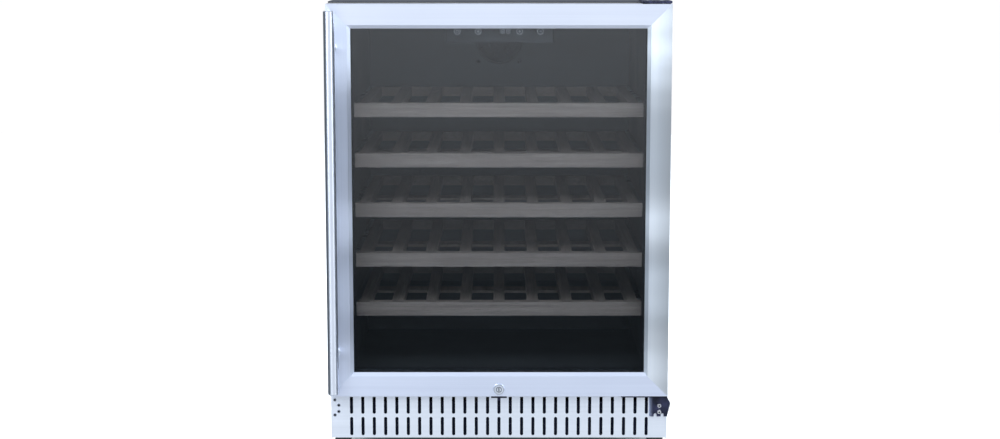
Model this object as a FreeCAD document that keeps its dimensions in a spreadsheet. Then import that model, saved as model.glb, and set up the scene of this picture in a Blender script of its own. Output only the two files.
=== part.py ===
"""An under-counter wine cooler as separate named pieces.

Millimetres. The origin is on the floor under the middle of the cooler, +Z is up, the door faces -Y and
+X is to the right of someone who stands in front of it.
"""
import FreeCAD, Part
import math
import os
import re
import Sketcher

Vector = FreeCAD.Vector
Rotation = FreeCAD.Rotation

SIZES = {
    # how far a cutting tool runs past the face that it enters or leaves
    "overcut": 1,
    # cabinet
    "case_width": 595,
    "case_front": -212.5,
    "case_back": 307.5,
    "case_top": 818,
    "case_base": 46,
    "case_sheet": 1,
    "pan_sheet": 2,
    "rear_sheet": 1.2,
    "rear_gap": 0.1,
    # cooled space
    "liner_half": 258,
    "liner_wall": 2,
    "liner_floor": 165,
    "liner_ceiling": 780,
    "liner_back": 242.5,
    "liner_flange_low": 128,
    "step_front": 95,
    "step_top": 240,
    "foam": 36,
    "bulkhead_sheet": 1.2,
    # door
    "door_front": -262.5,
    "door_low": 126,
    "door_high": 815,
    "door_depth": 42,
    "door_skin": 1.2,
    "rail_face": 36,
    "rail_bevel": 6,
    "rail_lip": 0.5,
    "mitre_reach": 60,
    "pane": 4,
    "pane_edge": 28,
    "pane_gap": 11.4,
    "pane_clearance": 0.1,
    "spacer_width": 12,
    "frame_opening": 42.3,
    "frame_clearance": 0.2,
    "gasket_outer": 20,
    "gasket_width": 14,
    "gasket_clearance": 0.3,
    # handle
    "handle_radius": 9.5,
    "handle_inset": 9.5,
    "handle_low": 139,
    "handle_high": 804.6,
    "handle_reach": 45,
    "handle_chamfer": 1,
    "post_radius": 7.5,
    "post_low": 206,
    "post_high": 740,
    # hinges
    "hinge_inset": 14.5,
    "hinge_depth": 25,
    "pin_radius": 4,
    "pin_length": 16,
    "pin_clearance": 0.05,
    "bush_radius": 6.5,
    "bush_length": 18,
    "bracket_plate": 2.9,
    "bracket_gap": 0.4,
    "bracket_left": 216,
    "bracket_body_left": 270,
    "bracket_right": 298,
    "bracket_low": 86.5,
    "bracket_thickness": 3.5,
    "bracket_flank": 4,
    "notch_width": 5.5,
    "notch_height": 3,
    "notch_x": 277,
    "notch_pitch": 12.4,
    "plate_front_gap": 4.5,
    "plate_rear_gap": 2.5,
    "ear_reach": 5.4,
    "ear_low": 88,
    "ear_high": 121,
    "ear_tip": 109,
    "ear_tip_height": 2,
    "upper_plate": 2,
    "upper_gap": 1,
    "upper_left": 247,
    "upper_rear": -150,
    "upper_tongue_gap": 6.5,
    "upper_clearance": 0.4,
    "upper_screw_x": 260,
    "upper_screw_y": -196,
    "upper_screw_pitch": 24,
    "upper_screw_rise": 28,
    "screw_head_radius": 4,
    "screw_head": 1.8,
    "screw_radius": 2,
    "screw_length": 8,
    "fixing_x": 284,
    "fixing_z": 100.3,
    "fixing_pitch": 11.4,
    "spare_x": 291,
    "spare_z": 102,
    "spare_pitch": 27.3,
    # lock
    "lock_z": 138.5,
    "bezel_radius": 10.5,
    "bezel_proud": 2,
    "barrel_radius": 8.5,
    "barrel_depth": 24,
    "plug_radius": 6.5,
    "plug_clearance": 0.06,
    "plug_proud": 0.5,
    "keyway_width": 1.6,
    "keyway_height": 7,
    "keyway_depth": 4,
    "cam_thickness": 2.5,
    "cam_width": 8,
    "cam_length": 19,
    "cam_gap": 0.5,
    "cam_room": 3,
    "keeper_width": 27.6,
    "keeper_low": 114,
    "keeper_high": 125.3,
    "keeper_edge_low": 119.4,
    "keeper_floor": 3,
    "keeper_lip": 11,
    "keeper_proud": 1,
    "keeper_depth": 27.5,
    # kick plate and feet
    "kick_front": -248.5,
    "kick_low": 47,
    "kick_high": 122.4,
    "kick_sheet": 1.2,
    "kick_flange": 8,
    "cheek": 1.5,
    "cheek_gap": 0.1,
    "slot_width": 5.6,
    "slot_length": 33.5,
    "slot_low": 51.1,
    "slot_rise": 39.2,
    "slot_pitch": 20.115,
    "slot_columns": 27,
    "filter_gap": 2,
    "filter_thickness": 3,
    "filter_inset": 24,
    "filter_top_gap": 1,
    "foot_x": 279,
    "foot_front": -222,
    "foot_rear": 270,
    "foot_radius": 14,
    "foot_base_radius": 18,
    "foot_base": 6,
    "foot_flare": 10,
    "foot_gap": 0.1,
    "stud_radius": 5,
    "stud_clearance": 0.08,
    "stud_top": 62,
    # shelves
    "shelf_count": 5,
    "shelf_top": 638.5,
    "shelf_pitch": 89.3,
    "shelf_half": 250,
    "shelf_front": -197.5,
    "shelf_rear": 193.5,
    "fascia_half": 255,
    "fascia_height": 24.5,
    "fascia_thickness": 20,
    "slat_width": 20,
    "slat_height": 18,
    "slat_drop": 2.5,
    "slat_pitch": 61,
    "side_slat": 18,
    "batten_front": 4.5,
    "batten_width": 40,
    "batten_height": 4.6,
    "rear_rail": 18,
    "runner_height": 16.4,
    "runner_width": 5.6,
    "channel_height": 19.6,
    "channel_clearance": 0.4,
    "channel_gap": 1,
    "channel_front": -170,
    "channel_rear": 190,
    # back wall of the cooled space
    "cover_front": 200.5,
    "cover_sheet": 2,
    "cover_clearance": 0.3,
    "fan_z": 726,
    "fan_bore": 44,
    "fan_frame": 92,
    "fan_frame_depth": 25,
    "fan_blades": 7,
    "blade_tip": 42,
    "blade_chord": 15,
    "blade_thickness": 1.6,
    "blade_pitch": 35,
    "hub_radius": 17,
    "hub_depth": 16,
    "hub_wall": 3,
    "rotor_gap": 2,
    "spindle_end_gap": 0.5,
    "spindle_radius": 3,
    "spindle_clearance": 0.06,
    "spider_depth": 4,
    "spider_arm": 6,
    "spider_inset": 2,
    "fan_fixing": 82.5,
    "guard_radius": 45,
    "guard_wire": 1.2,
    "guard_rings": 4,
    "guard_pitch": 11,
    "grille_low": 262,
    "grille_height": 43,
    "grille_slot": 4,
    "grille_pitch": 8.2,
    "grille_columns": 43,
    "coil_half": 150,
    "coil_low": 330,
    "coil_high": 620,
    "coil_front": 208,
    "coil_depth": 34.5,
    "coil_tubes": 6,
    "coil_tube_radius": 4,
    "tube_reach": 12,
    # controls
    "control_half": 95.5,
    "control_x": 1.5,
    "control_low": 745,
    "control_front": -190.5,
    "control_depth": 130,
    "control_corner": 4,
    "button_radius": 6.4,
    "button_clearance": 0.3,
    "button_proud": 1.6,
    "button_depth": 6,
    "button_room": 2,
    "button_z": 765,
    "button_inner": 36.5,
    "button_outer": 73,
    "button_chamfer": 0.5,
    "window_x": 11.6,
    "window_width": 22,
    "window_height": 10,
    "window_depth": 2,
    "lamp_left": 98,
    "lamp_right": 131,
    "lamp_drop": 9,
    # machine room
    "compressor_x": -130,
    "compressor_y": 218,
    "compressor_radius": 62,
    "compressor_low": 66,
    "compressor_high": 172,
    "compressor_dome": 18,
    "compressor_crown": 43.4,
    "compressor_foot": 150,
    "compressor_foot_depth": 135,
    "compressor_foot_sheet": 4,
    "grommet_radius": 8,
    "grommet_x": 63,
    "grommet_y": 55.5,
    "condenser_left": 10,
    "condenser_right": 190,
    "condenser_front": 142,
    "condenser_depth": 45,
    "condenser_low": 58,
    "condenser_high": 190,
    "condenser_header": 6,
    "condenser_bracket_depth": 4,
    "cooling_x": 100,
    "cooling_z": 108,
    "cooling_frame": 120,
    "cooling_bore": 57,
    "cooling_tip": 54,
    "cooling_gap": 6,
    "vent_columns": 12,
    "vent_pitch": 16,
    "vent_width": 7,
    "vent_height": 50,
    "vent_low": 66,
    "vent_rise": 64,
    "vent_x": -95,
    "inlet_x": 225,
    "inlet_z": 92,
    "inlet_width": 30,
    "inlet_height": 24,
    "inlet_flange": 5,
    "inlet_gap": 1,
    "inlet_depth": 24,
    "inlet_wall": 2.5,
    "inlet_blade": 1.8,
    "inlet_blade_height": 5,
    "inlet_pitch": 6,
    "inlet_rise": 2,
    "inlet_recess": 4,
}

doc = FreeCAD.newDocument("wine_cooler")
sheet = doc.addObject("Spreadsheet::Sheet", "sizes")
for row, (alias, value) in enumerate(SIZES.items(), 1):
    sheet.set(f"A{row}", alias)
    sheet.set(f"B{row}", str(value))
    sheet.setAlias(f"B{row}", alias)
doc.recompute()

nodes = []


# ---- helpers ----

def formula(text):
    """An expression in which every size's name points at the sheet."""
    return re.sub(r"[a-z_]{3,}", lambda word: ("sizes." if word[0] in SIZES else "") + word[0], str(text))


def place(thing, x=0, y=0, z=0):
    """Bind where a thing stands."""
    for axis, text in zip("xyz", (x, y, z)):
        thing.setExpression("Placement.Base." + axis, formula(text))
    return thing


def block(name, x, y, z):
    """A block between two places along each axis."""
    part = doc.addObject("Part::Box", name)
    for size, (low, high) in zip(("Length", "Width", "Height"), (x, y, z)):
        part.setExpression(size, formula(f"({high}) - ({low})"))
    return place(part, x[0], y[0], z[0])


def about(middle, size):
    """The two ends of a size about its middle."""
    return f"({middle}) - ({size}) / 2", f"({middle}) + ({size}) / 2"


def onward(start, size):
    """The two ends of a size that begins at a place."""
    return str(start), f"({start}) + ({size})"


TURNS = {
    "z": Rotation(),
    "-z": Rotation(Vector(1, 0, 0), 180),
    "y": Rotation(Vector(1, 0, 0), -90),
    "x": Rotation(Vector(0, 1, 0), 90),
}


def rod(name, radius, length, x, y, z, along="z"):
    """A round bar that begins at a point and runs along an axis."""
    part = doc.addObject("Part::Cylinder", name)
    part.setExpression("Radius", formula(radius))
    part.setExpression("Height", formula(length))
    part.Placement.Rotation = TURNS[along]
    return place(part, x, y, z)


def cone(name, start, end, length, x, y, z, along="z"):
    """A tapered round bar."""
    part = doc.addObject("Part::Cone", name)
    part.setExpression("Radius1", formula(start))
    part.setExpression("Radius2", formula(end))
    part.setExpression("Height", formula(length))
    part.Placement.Rotation = TURNS[along]
    return place(part, x, y, z)


def fuse(name, *pieces):
    """One solid made of several."""
    part = doc.addObject("Part::MultiFuse", name)
    part.Shapes = list(pieces)
    part.Refine = True
    return part


def group(name, *pieces):
    """Separate solids that share a node."""
    part = doc.addObject("Part::Compound", name)
    part.Links = list(pieces)
    return part


def cut(name, base, *tools):
    """A solid with others taken out of it."""
    tool = tools[0] if len(tools) == 1 else fuse(name + "_tools", *tools)
    part = doc.addObject("Part::Cut", name)
    part.Base = base
    part.Tool = tool
    part.Refine = True
    return part


def softened(name, base, kind, size, wanted):
    """The base with a fillet or chamfer on the edges that wanted picks."""
    doc.recompute()
    part = doc.addObject("Part::" + kind, name)
    part.Base = base
    amount = float(sheet.get(size))
    edges = [n for n, edge in enumerate(base.Shape.Edges, 1) if wanted(edge)]
    part.Edges = [(n, amount, amount) for n in edges]
    return part


def is_upright(edge):
    """Does the edge run straight up?"""
    low, high = edge.Vertexes[0].Point, edge.Vertexes[-1].Point
    return abs(low.z - high.z) > 1 and (low - high).cross(Vector(0, 0, 1)).Length < 0.01


def is_round(edge):
    """Is the edge a full circle?"""
    return isinstance(edge.Curve, Part.Circle) and edge.isClosed()


def node(part):
    """Keep a finished piece for export."""
    part.Label = part.Name
    nodes.append(part)
    return part


def body_with_sheet(name, x, z, front, thickness):
    """A PartDesign body that begins as an upright sheet, its front face at a given y."""
    body = doc.addObject("PartDesign::Body", name)
    outline = sketch_on_front(body, name + "_outline")
    sketch_box(outline, x, z)
    pad = body.newObject("PartDesign::Pad", name + "_pad")
    pad.Profile = outline
    pad.setExpression("Length", formula(thickness))
    pad.Reversed = True
    place(body, y=front)
    return body


def sketch_on_front(body, name):
    """A sketch on the body's own upright plane, with its first axis to the right and its second up."""
    plane = [p for p in body.Origin.OriginFeatures if p.Role == "XZ_Plane"][0]
    sketch = body.newObject("Sketcher::SketchObject", name)
    sketch.AttachmentSupport = (plane, [""])
    sketch.MapMode = "FlatFace"
    return sketch


def fix(sketch, kind, edge, end, text):
    """Bind how far the end of an edge lies from the sketch's origin, across or up."""
    point = sketch.getPoint(edge, end)
    now = point.x if kind == "X" else point.y
    number = sketch.addConstraint(Sketcher.Constraint("Distance" + kind, -1, 1, edge, end, now))
    sketch.setExpression(f"Constraints[{number}]", formula(text))


def sketch_box(sketch, x, z):
    """A rectangle between two places along each axis of the sketch."""
    corners = [Vector(2, 2), Vector(9, 2), Vector(9, 9), Vector(2, 9)]
    first = sketch.GeometryCount
    for n, corner in enumerate(corners):
        sketch.addGeometry(Part.LineSegment(corner, corners[(n + 1) % 4]), False)
    for n in range(4):
        sketch.addConstraint(Sketcher.Constraint("Coincident", first + n, 2, first + (n + 1) % 4, 1))
        sketch.addConstraint(Sketcher.Constraint("Vertical" if n % 2 else "Horizontal", first + n))
    for end, place_x, place_z in ((1, x[0], z[0]), (2, x[1], z[1])):
        edge = first if end == 1 else first + 1
        fix(sketch, "X", edge, end, place_x)
        fix(sketch, "Y", edge, end, place_z)


def sketch_slot(sketch, x, z, width):
    """An upright slot with round ends about x, between two heights."""
    first = sketch.GeometryCount
    top = Part.Circle(Vector(9, 30), Vector(0, 0, 1), 3)
    bottom = Part.Circle(Vector(9, 12), Vector(0, 0, 1), 3)
    sketch.addGeometry(Part.ArcOfCircle(top, 0, math.pi), False)
    sketch.addGeometry(Part.LineSegment(Vector(6, 30), Vector(6, 12)), False)
    sketch.addGeometry(Part.ArcOfCircle(bottom, math.pi, 2 * math.pi), False)
    sketch.addGeometry(Part.LineSegment(Vector(12, 12), Vector(12, 30)), False)
    for n in range(4):
        sketch.addConstraint(Sketcher.Constraint("Tangent", first + n, 2, first + (n + 1) % 4, 1))
    sketch.addConstraint(Sketcher.Constraint("Equal", first, first + 2))
    number = sketch.addConstraint(Sketcher.Constraint("Radius", first, 3.0))
    sketch.setExpression(f"Constraints[{number}]", formula(f"({width}) / 2"))
    fix(sketch, "X", first, 3, x)
    fix(sketch, "Y", first, 3, f"({z[1]}) - ({width}) / 2")
    fix(sketch, "X", first + 2, 3, x)
    fix(sketch, "Y", first + 2, 3, f"({z[0]}) + ({width}) / 2")


def pocket(body, sketch, name):
    """Cut a sketch right through the body."""
    cutout = body.newObject("PartDesign::Pocket", name)
    cutout.Profile = sketch
    cutout.Type = "ThroughAll"
    cutout.Midplane = True
    return cutout


def repeat_across(body, feature, sketch, name, count, pitch):
    """Repeat a pocket to the right."""
    pattern = body.newObject("PartDesign::LinearPattern", name)
    pattern.Originals = [feature]
    pattern.Direction = (sketch, ["H_Axis"])
    pattern.setExpression("Occurrences", formula(count))
    pattern.setExpression("Length", formula(f"(({count}) - 1) * ({pitch})"))
    body.Tip = pattern
    return pattern


# ---- door ----

door_x = ("-case_width / 2", "case_width / 2")
door_y = ("door_front", "door_front + door_depth")
door_z = ("door_low", "door_high")
hinge_x = "case_width / 2 - hinge_inset"
hinge_y = "door_front + hinge_depth"
cam_passage = "2 * cam_gap + cam_thickness + cam_room"
glass_front = "door_front + rail_bevel + rail_lip + pane_clearance"


def inset(span, size):
    """A span made smaller by a size at both ends."""
    return f"({span[0]}) + ({size})", f"({span[1]}) - ({size})"


def mitre(name, turn, x, y, z, run, other):
    """A wedge that holds one side of the door and stops at its mitres."""
    part = doc.addObject("Part::Wedge", name)
    part.Placement.Rotation = turn
    across, deep = run
    low, high = across
    sides = {
        f"{other}min": low,
        f"{other}max": high,
        f"{other}2min": f"({low}) + mitre_reach",
        f"{other}2max": f"({high}) - mitre_reach",
        "Ymin": "0",
        "Ymax": "mitre_reach",
    }
    flat = "Z" if other == "X" else "X"
    sides.update({f"{flat}min": deep[0], f"{flat}max": deep[1]})
    sides.update({f"{flat}2min": deep[0], f"{flat}2max": deep[1]})
    for size, text in sides.items():
        part.setExpression(size, formula(text))
    return place(part, x, y, z)


def door_frame():
    """The whole folded steel frame, before it is parted at the mitres."""
    shell = cut(
        "door_shell",
        block("door_outer", door_x, door_y, door_z),
        block(
            "door_hollow",
            inset(door_x, "door_skin"),
            ("door_front + door_skin", door_y[1]),
            inset(door_z, "door_skin"),
        ),
    )
    lip_y = ("door_front + door_skin / 2", "door_front + rail_bevel + rail_lip")
    lip_x = inset(door_x, "rail_face - door_skin")
    lip_z = inset(door_z, "rail_face - door_skin")
    whole = fuse("door_shell_with_lip", shell, block("door_lip", lip_x, lip_y, lip_z))
    opening_x = inset(door_x, "rail_face + rail_bevel")
    opening_z = inset(door_z, "rail_face + rail_bevel")
    bevel = doc.addObject("Part::Wedge", "door_bevel")
    sides = {
        "X": inset(door_x, "rail_face"),
        "Z": inset(door_z, "rail_face"),
        "X2": opening_x,
        "Z2": opening_z,
        "Y": ("0", "rail_bevel"),
    }
    for axis, (low, high) in sides.items():
        bevel.setExpression(axis + "min", formula(low))
        bevel.setExpression(axis + "max", formula(high))
    place(bevel, y="door_front")
    through = block("door_opening", opening_x, ("door_front + rail_bevel / 2", door_y[1]), opening_z)
    return cut("door_ring", whole, bevel, through)


def door_sides():
    """The four mitred rails."""
    ring = door_frame()
    depth = ("0", "door_depth")
    drill = "door_skin + 2 * overcut"
    turned = {
        "door_bottom_rail": (Rotation(Vector(1, 0, 0), 90), 0, door_y[1], "door_low", (door_x, depth), "X"),
        "door_top_rail": (Rotation(Vector(1, 0, 0), -90), 0, door_y[0], "door_high", (door_x, depth), "X"),
        "door_left_stile": (
            Rotation(Vector(0, 0, 1), -90), door_x[0], door_y[0], 0, (door_z, ("-door_depth", "0")), "Z",
        ),
        "door_right_stile": (
            Rotation(Vector(0, 0, 1), 90), door_x[1], door_y[0], 0, (door_z, depth), "Z",
        ),
    }
    openings = {
        "door_bottom_rail": [
            rod("bottom_rail_lock_hole", "barrel_radius", drill, 0, "door_front - overcut", "lock_z", "y"),
            block(
                "bottom_rail_cam_slot",
                ("-cam_length", "cam_width / 2 + cam_room"),
                onward("door_front + barrel_depth", cam_passage),
                ("door_low - overcut", "door_low + door_skin + overcut"),
            ),
            rod("bottom_rail_bush_hole", "bush_radius", drill, hinge_x, hinge_y, "door_low - overcut"),
        ],
        "door_top_rail": [
            rod(
                "top_rail_bush_hole", "bush_radius", drill, hinge_x, hinge_y,
                "door_high - door_skin - overcut",
            ),
        ],
    }
    for name, (turn, x, y, z, run, other) in turned.items():
        side = doc.addObject("Part::Common", name + "_whole" if name in openings else name)
        side.Base = ring
        side.Tool = mitre(name + "_mitre", turn, x, y, z, run, other)
        side.Refine = True
        node(cut(name, side, *openings[name]) if name in openings else side)


def glass_unit():
    """Outer and inner panes with the spacer between them."""
    edge_x, edge_z = inset(door_x, "pane_edge"), inset(door_z, "pane_edge")
    inner_front = f"{glass_front} + pane + pane_gap"
    node(block("outer_glass", edge_x, onward(glass_front, "pane"), edge_z))
    node(block("inner_glass", edge_x, onward(inner_front, "pane"), edge_z))
    gap = onward(f"{glass_front} + pane", "pane_gap")
    node(cut(
        "glass_spacer",
        block("glass_spacer_outer", edge_x, gap, edge_z),
        block("glass_spacer_hollow", inset(edge_x, "spacer_width"), gap, inset(edge_z, "spacer_width")),
    ))


def inner_frame():
    """The black frame behind the steel, which holds the glass and takes the lock and the hinge bushes."""
    edge = "door_skin + frame_clearance"
    unit = "pane_edge - frame_clearance"
    outer = block("inner_frame_outer", inset(door_x, edge), (glass_front, door_y[1]), inset(door_z, edge))
    node(cut(
        "door_inner_frame",
        outer,
        block(
            "inner_frame_rebate",
            inset(door_x, unit),
            onward(f"{glass_front} - overcut", "overcut + 2 * pane + pane_gap"),
            inset(door_z, unit),
        ),
        block("inner_frame_opening", inset(door_x, "frame_opening"), door_y, inset(door_z, "frame_opening")),
        rod("inner_frame_lock_hole", "barrel_radius", "barrel_depth", 0, "door_front", "lock_z", "y"),
        block(
            "inner_frame_cam_room",
            ("-cam_length - cam_room", "cam_length / 2"),
            onward("door_front + barrel_depth", cam_passage),
            ("door_low", "lock_z + cam_width"),
        ),
        rod("inner_frame_lower_bush_hole", "bush_radius", "bush_length", hinge_x, hinge_y, "door_low"),
        rod("inner_frame_upper_bush_hole", "bush_radius", "bush_length", hinge_x, hinge_y, "door_high", "-z"),
    ))


def gasket():
    """The magnetic seal between the door and the cabinet's front."""
    outer_x, outer_z = inset(door_x, "gasket_outer"), inset(door_z, "gasket_outer")
    y = (door_y[1], "case_front - gasket_clearance")
    node(cut(
        "door_gasket",
        block("gasket_outer_block", outer_x, y, outer_z),
        block("gasket_hollow", inset(outer_x, "gasket_width"), y, inset(outer_z, "gasket_width")),
    ))


def handle():
    """A round bar on two posts."""
    x = "-case_width / 2 + handle_inset"
    y = "door_front - handle_reach + handle_radius"
    bar = rod("handle_bar_blank", "handle_radius", "handle_high - handle_low", x, y, "handle_low")
    node(softened("handle_bar", bar, "Chamfer", "handle_chamfer", is_round))
    posts = []
    for where in ("post_low", "post_high"):
        post = rod(where + "_blank", "post_radius", f"door_front - ({y})", x, y, where, "y")
        posts.append(cut(where + "_fitted", post, bar))
    node(group("handle_posts", *posts))


def lock():
    """The housing in the bottom rail, and the cylinder with its cam, which turns down into the keeper."""
    front = "door_front - bezel_proud"
    housing = fuse(
        "lock_housing_blank",
        cone(
            "lock_bezel", "bezel_radius - bezel_proud / 2", "bezel_radius", "bezel_proud", 0, front,
            "lock_z", "y",
        ),
        rod("lock_barrel", "barrel_radius", "barrel_depth", 0, "door_front", "lock_z", "y"),
    )
    bore = rod(
        "lock_bore", "plug_radius + plug_clearance", "bezel_proud + barrel_depth", 0, front, "lock_z", "y",
    )
    node(cut("lock_housing", housing, bore))
    plug_front = f"{front} - plug_proud"
    cam_front = "door_front + barrel_depth + cam_gap"
    plug = rod("lock_plug", "plug_radius", f"{cam_front} - ({plug_front})", 0, plug_front, "lock_z", "y")
    cam_y = onward(cam_front, "cam_thickness")
    tip_x = "cam_width / 2 - cam_length"
    arm = block("lock_cam_arm", (tip_x, "0"), cam_y, about("lock_z", "cam_width"))
    tip = rod("lock_cam_tip", "cam_width / 2", "cam_thickness", tip_x, cam_y[0], "lock_z", "y")
    eye = rod("lock_cam_eye", "plug_radius", "cam_thickness", 0, cam_y[0], "lock_z", "y")
    keyway = block(
        "lock_keyway",
        about("0", "keyway_width"),
        onward(plug_front, "keyway_depth"),
        about("lock_z", "keyway_height"),
    )
    node(cut("lock_cylinder", fuse("lock_cylinder_blank", plug, arm, tip, eye), keyway))


def bushes():
    """Two plain bushes in which the door turns on its pins."""
    made = []
    for name, z, along in (("lower", "door_low", "z"), ("upper", "door_high", "-z")):
        outer = rod(f"{name}_bush_outer", "bush_radius", "bush_length", hinge_x, hinge_y, z, along)
        hole = rod(
            f"{name}_bush_hole", "pin_radius + pin_clearance", "bush_length", hinge_x, hinge_y, z, along,
        )
        made.append(cut(f"{name}_bush", outer, hole))
    node(group("hinge_bushes", *made))


# ---- cabinet ----

case_x = inset(door_x, "case_sheet + rear_gap")
back_y = "case_back - rear_sheet"
room_front = "step_front + liner_wall + foam"
room_top = "step_top - foam"
under_top = "case_top - case_sheet - rear_gap"


def cabinet_shell():
    """Steel case, base pan, bulkhead and rear panel."""
    node(cut(
        "outer_case",
        block("case_outer", door_x, ("case_front", "case_back"), ("case_base", "case_top")),
        block(
            "case_inside",
            inset(door_x, "case_sheet"),
            ("case_front", "case_back"),
            ("case_base", "case_top - case_sheet"),
        ),
    ))
    cheek_y = ("kick_front", "case_front")
    floor = fuse(
        "base_pan_blank",
        block(
            "base_floor", case_x, ("kick_front + kick_sheet + filter_gap", back_y),
            onward("case_base", "pan_sheet"),
        ),
        block("left_cheek", onward(door_x[0], "cheek"), cheek_y, ("case_base", "kick_high")),
        block("right_cheek", onward("case_width / 2 - cheek", "cheek"), cheek_y, ("case_base", "kick_high")),
    )
    stud_holes = [
        rod(
            f"stud_hole_{side}_{end}", "stud_radius + stud_clearance", "pan_sheet", x, f"foot_{end}",
            "case_base",
        )
        for side, x in (("left", "-foot_x"), ("right", "foot_x"))
        for end in ("front", "rear")
    ]
    node(cut("base_pan", floor, *stud_holes))
    riser_front = f"{room_front} - bulkhead_sheet"
    low = onward("liner_flange_low - bulkhead_sheet", "bulkhead_sheet")
    high = onward(f"{room_top} - bulkhead_sheet", "bulkhead_sheet")
    node(fuse(
        "bulkhead",
        block("bulkhead_floor", case_x, ("case_front", room_front), low),
        block("bulkhead_riser", case_x, onward(riser_front, "bulkhead_sheet"), (low[0], room_top)),
        block("bulkhead_roof", case_x, (riser_front, back_y), high),
    ))


def rear_panel():
    """The back sheet, with two rows of vents and a hole for the power inlet."""
    body = body_with_sheet(
        "rear_panel", case_x, ("case_base + pan_sheet", under_top), back_y, "rear_sheet",
    )
    hole = sketch_on_front(body, "rear_inlet_outline")
    hole_x = about("inlet_x", "inlet_width + inlet_gap")
    hole_z = about("inlet_z", "inlet_height + inlet_gap")
    sketch_box(hole, hole_x, hole_z)
    pocket(body, hole, "rear_inlet_hole")
    vents = sketch_on_front(body, "rear_vent_outline")
    first = "vent_x - (vent_columns - 1) / 2 * vent_pitch"
    for rise in ("0", "vent_rise"):
        sketch_slot(vents, first, onward(f"vent_low + {rise}", "vent_height"), "vent_width")
    cutout = pocket(body, vents, "rear_vent")
    repeat_across(body, cutout, vents, "rear_vents", "vent_columns", "vent_pitch")
    node(body)


def liner():
    """The inner liner with its front flange and compressor step, and the foam round it."""
    half = ("-liner_half", "liner_half")
    outer_x = inset(half, "-liner_wall")
    front, rear = "case_front", "liner_back"

    def space(name, x, wall):
        """The cooled space, made larger by a wall."""
        return [
            block(
                name + "_front", x, (front, f"step_front + {wall}"),
                (f"liner_floor - {wall}", f"liner_ceiling + {wall}"),
            ),
            block(
                name + "_rear", x, (front, f"{rear} + {wall}"),
                (f"step_top - {wall}", f"liner_ceiling + {wall}"),
            ),
        ]

    flange = block("liner_flange", case_x, onward(front, "liner_wall"), ("liner_flange_low", under_top))
    tub = fuse("liner_tub", flange, *space("liner_outer", outer_x, "liner_wall"))
    node(cut("inner_liner", tub, *space("liner_inner", half, "0")))
    foam_y = (f"{front} + liner_wall", back_y)
    room_y = (f"{room_front} - bulkhead_sheet", back_y)
    node(cut(
        "insulation_foam",
        block("foam_block", case_x, foam_y, ("liner_flange_low", under_top)),
        block("foam_room", case_x, room_y, ("liner_flange_low", room_top)),
        *space("foam_hollow", outer_x, "liner_wall"),
    ))


def kick_plate():
    """The slotted plate under the door, its air filter and the holes for a left-hand hinge."""
    plate_x = inset(door_x, "cheek + cheek_gap")
    body = body_with_sheet("kick_sheet_body", plate_x, ("kick_low", "kick_high"), "kick_front", "kick_sheet")
    slots = sketch_on_front(body, "kick_slot_outline")
    first = "-(slot_columns - 1) / 2 * slot_pitch"
    for rise in ("0", "slot_rise"):
        sketch_slot(slots, first, onward(f"slot_low + {rise}", "slot_length"), "slot_width")
    cutout = pocket(body, slots, "kick_slot")
    repeat_across(body, cutout, slots, "kick_slots", "slot_columns", "slot_pitch")
    flange = block(
        "kick_top_flange", plate_x, onward("kick_front", "kick_flange"),
        onward("kick_high - kick_sheet", "kick_sheet"),
    )
    holes = []
    patterns = (
        ("fixing", -1, "fixing_x", "fixing_z", "fixing_pitch"),
        ("spare", -1, "spare_x", "spare_z", "spare_pitch"),
        ("bracket", 1, "fixing_x", "fixing_z", "fixing_pitch"),
    )
    for name, side, x, z, pitch in patterns:
        for end in (-1, 1):
            holes.append(rod(
                f"kick_{name}_hole_{'upper' if end > 0 else 'lower'}",
                "screw_radius", "kick_sheet + 2 * overcut", f"{side} * {x}", "kick_front - overcut",
                f"{z} + {end} * {pitch} / 2", "y",
            ))
    notch = block(
        "kick_keeper_notch",
        about("0", "keeper_width"),
        ("kick_front + kick_sheet", "kick_front + kick_flange"),
        ("keeper_low", "kick_high"),
    )
    whole = fuse("kick_plate_blank", body, flange)
    node(cut("kick_plate", whole, notch, *holes))
    filter_front = "kick_front + kick_sheet + filter_gap"
    node(block(
        "intake_filter",
        inset(plate_x, "filter_inset"),
        onward(filter_front, "filter_thickness"),
        ("case_base + pan_sheet", "keeper_low - filter_top_gap"),
    ))


def lock_keeper():
    """The keeper behind whose lip the lock's cam drops, hooked over the kick plate's top edge."""
    front = "kick_front - keeper_proud"
    inside = "kick_front + kick_sheet"
    back = f"{front} + keeper_lip"
    x = about("0", "keeper_width")
    node(fuse(
        "lock_keeper",
        block("keeper_lip_block", x, (inside, back), ("keeper_low", "keeper_high")),
        block("keeper_top_plate", x, (front, back), ("kick_high", "keeper_high")),
        block("keeper_front_edge", x, (front, "kick_front"), ("keeper_edge_low", "keeper_high")),
        block(
            "keeper_floor_block", x, (inside, f"{front} + keeper_depth"),
            onward("keeper_low", "keeper_floor"),
        ),
    ))


def bracket_flank(z):
    """The slope at the left of the lower bracket's face, widest against the kick plate."""
    part = doc.addObject("Part::Wedge", "lower_bracket_flank")
    part.Placement.Rotation = Rotation(Vector(0, 0, 1), 180)
    ends = {"Xmin": "0", "Xmax": "bracket_flank", "X2min": "0", "X2max": "0"}
    ends.update({"Ymin": "0", "Ymax": "bracket_thickness"})
    ends.update({"Zmin": z[0], "Zmax": z[1], "Z2min": z[0], "Z2max": z[1]})
    for size, text in ends.items():
        part.setExpression(size, formula(text))
    return place(part, x="bracket_body_left", y="kick_front")


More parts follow.
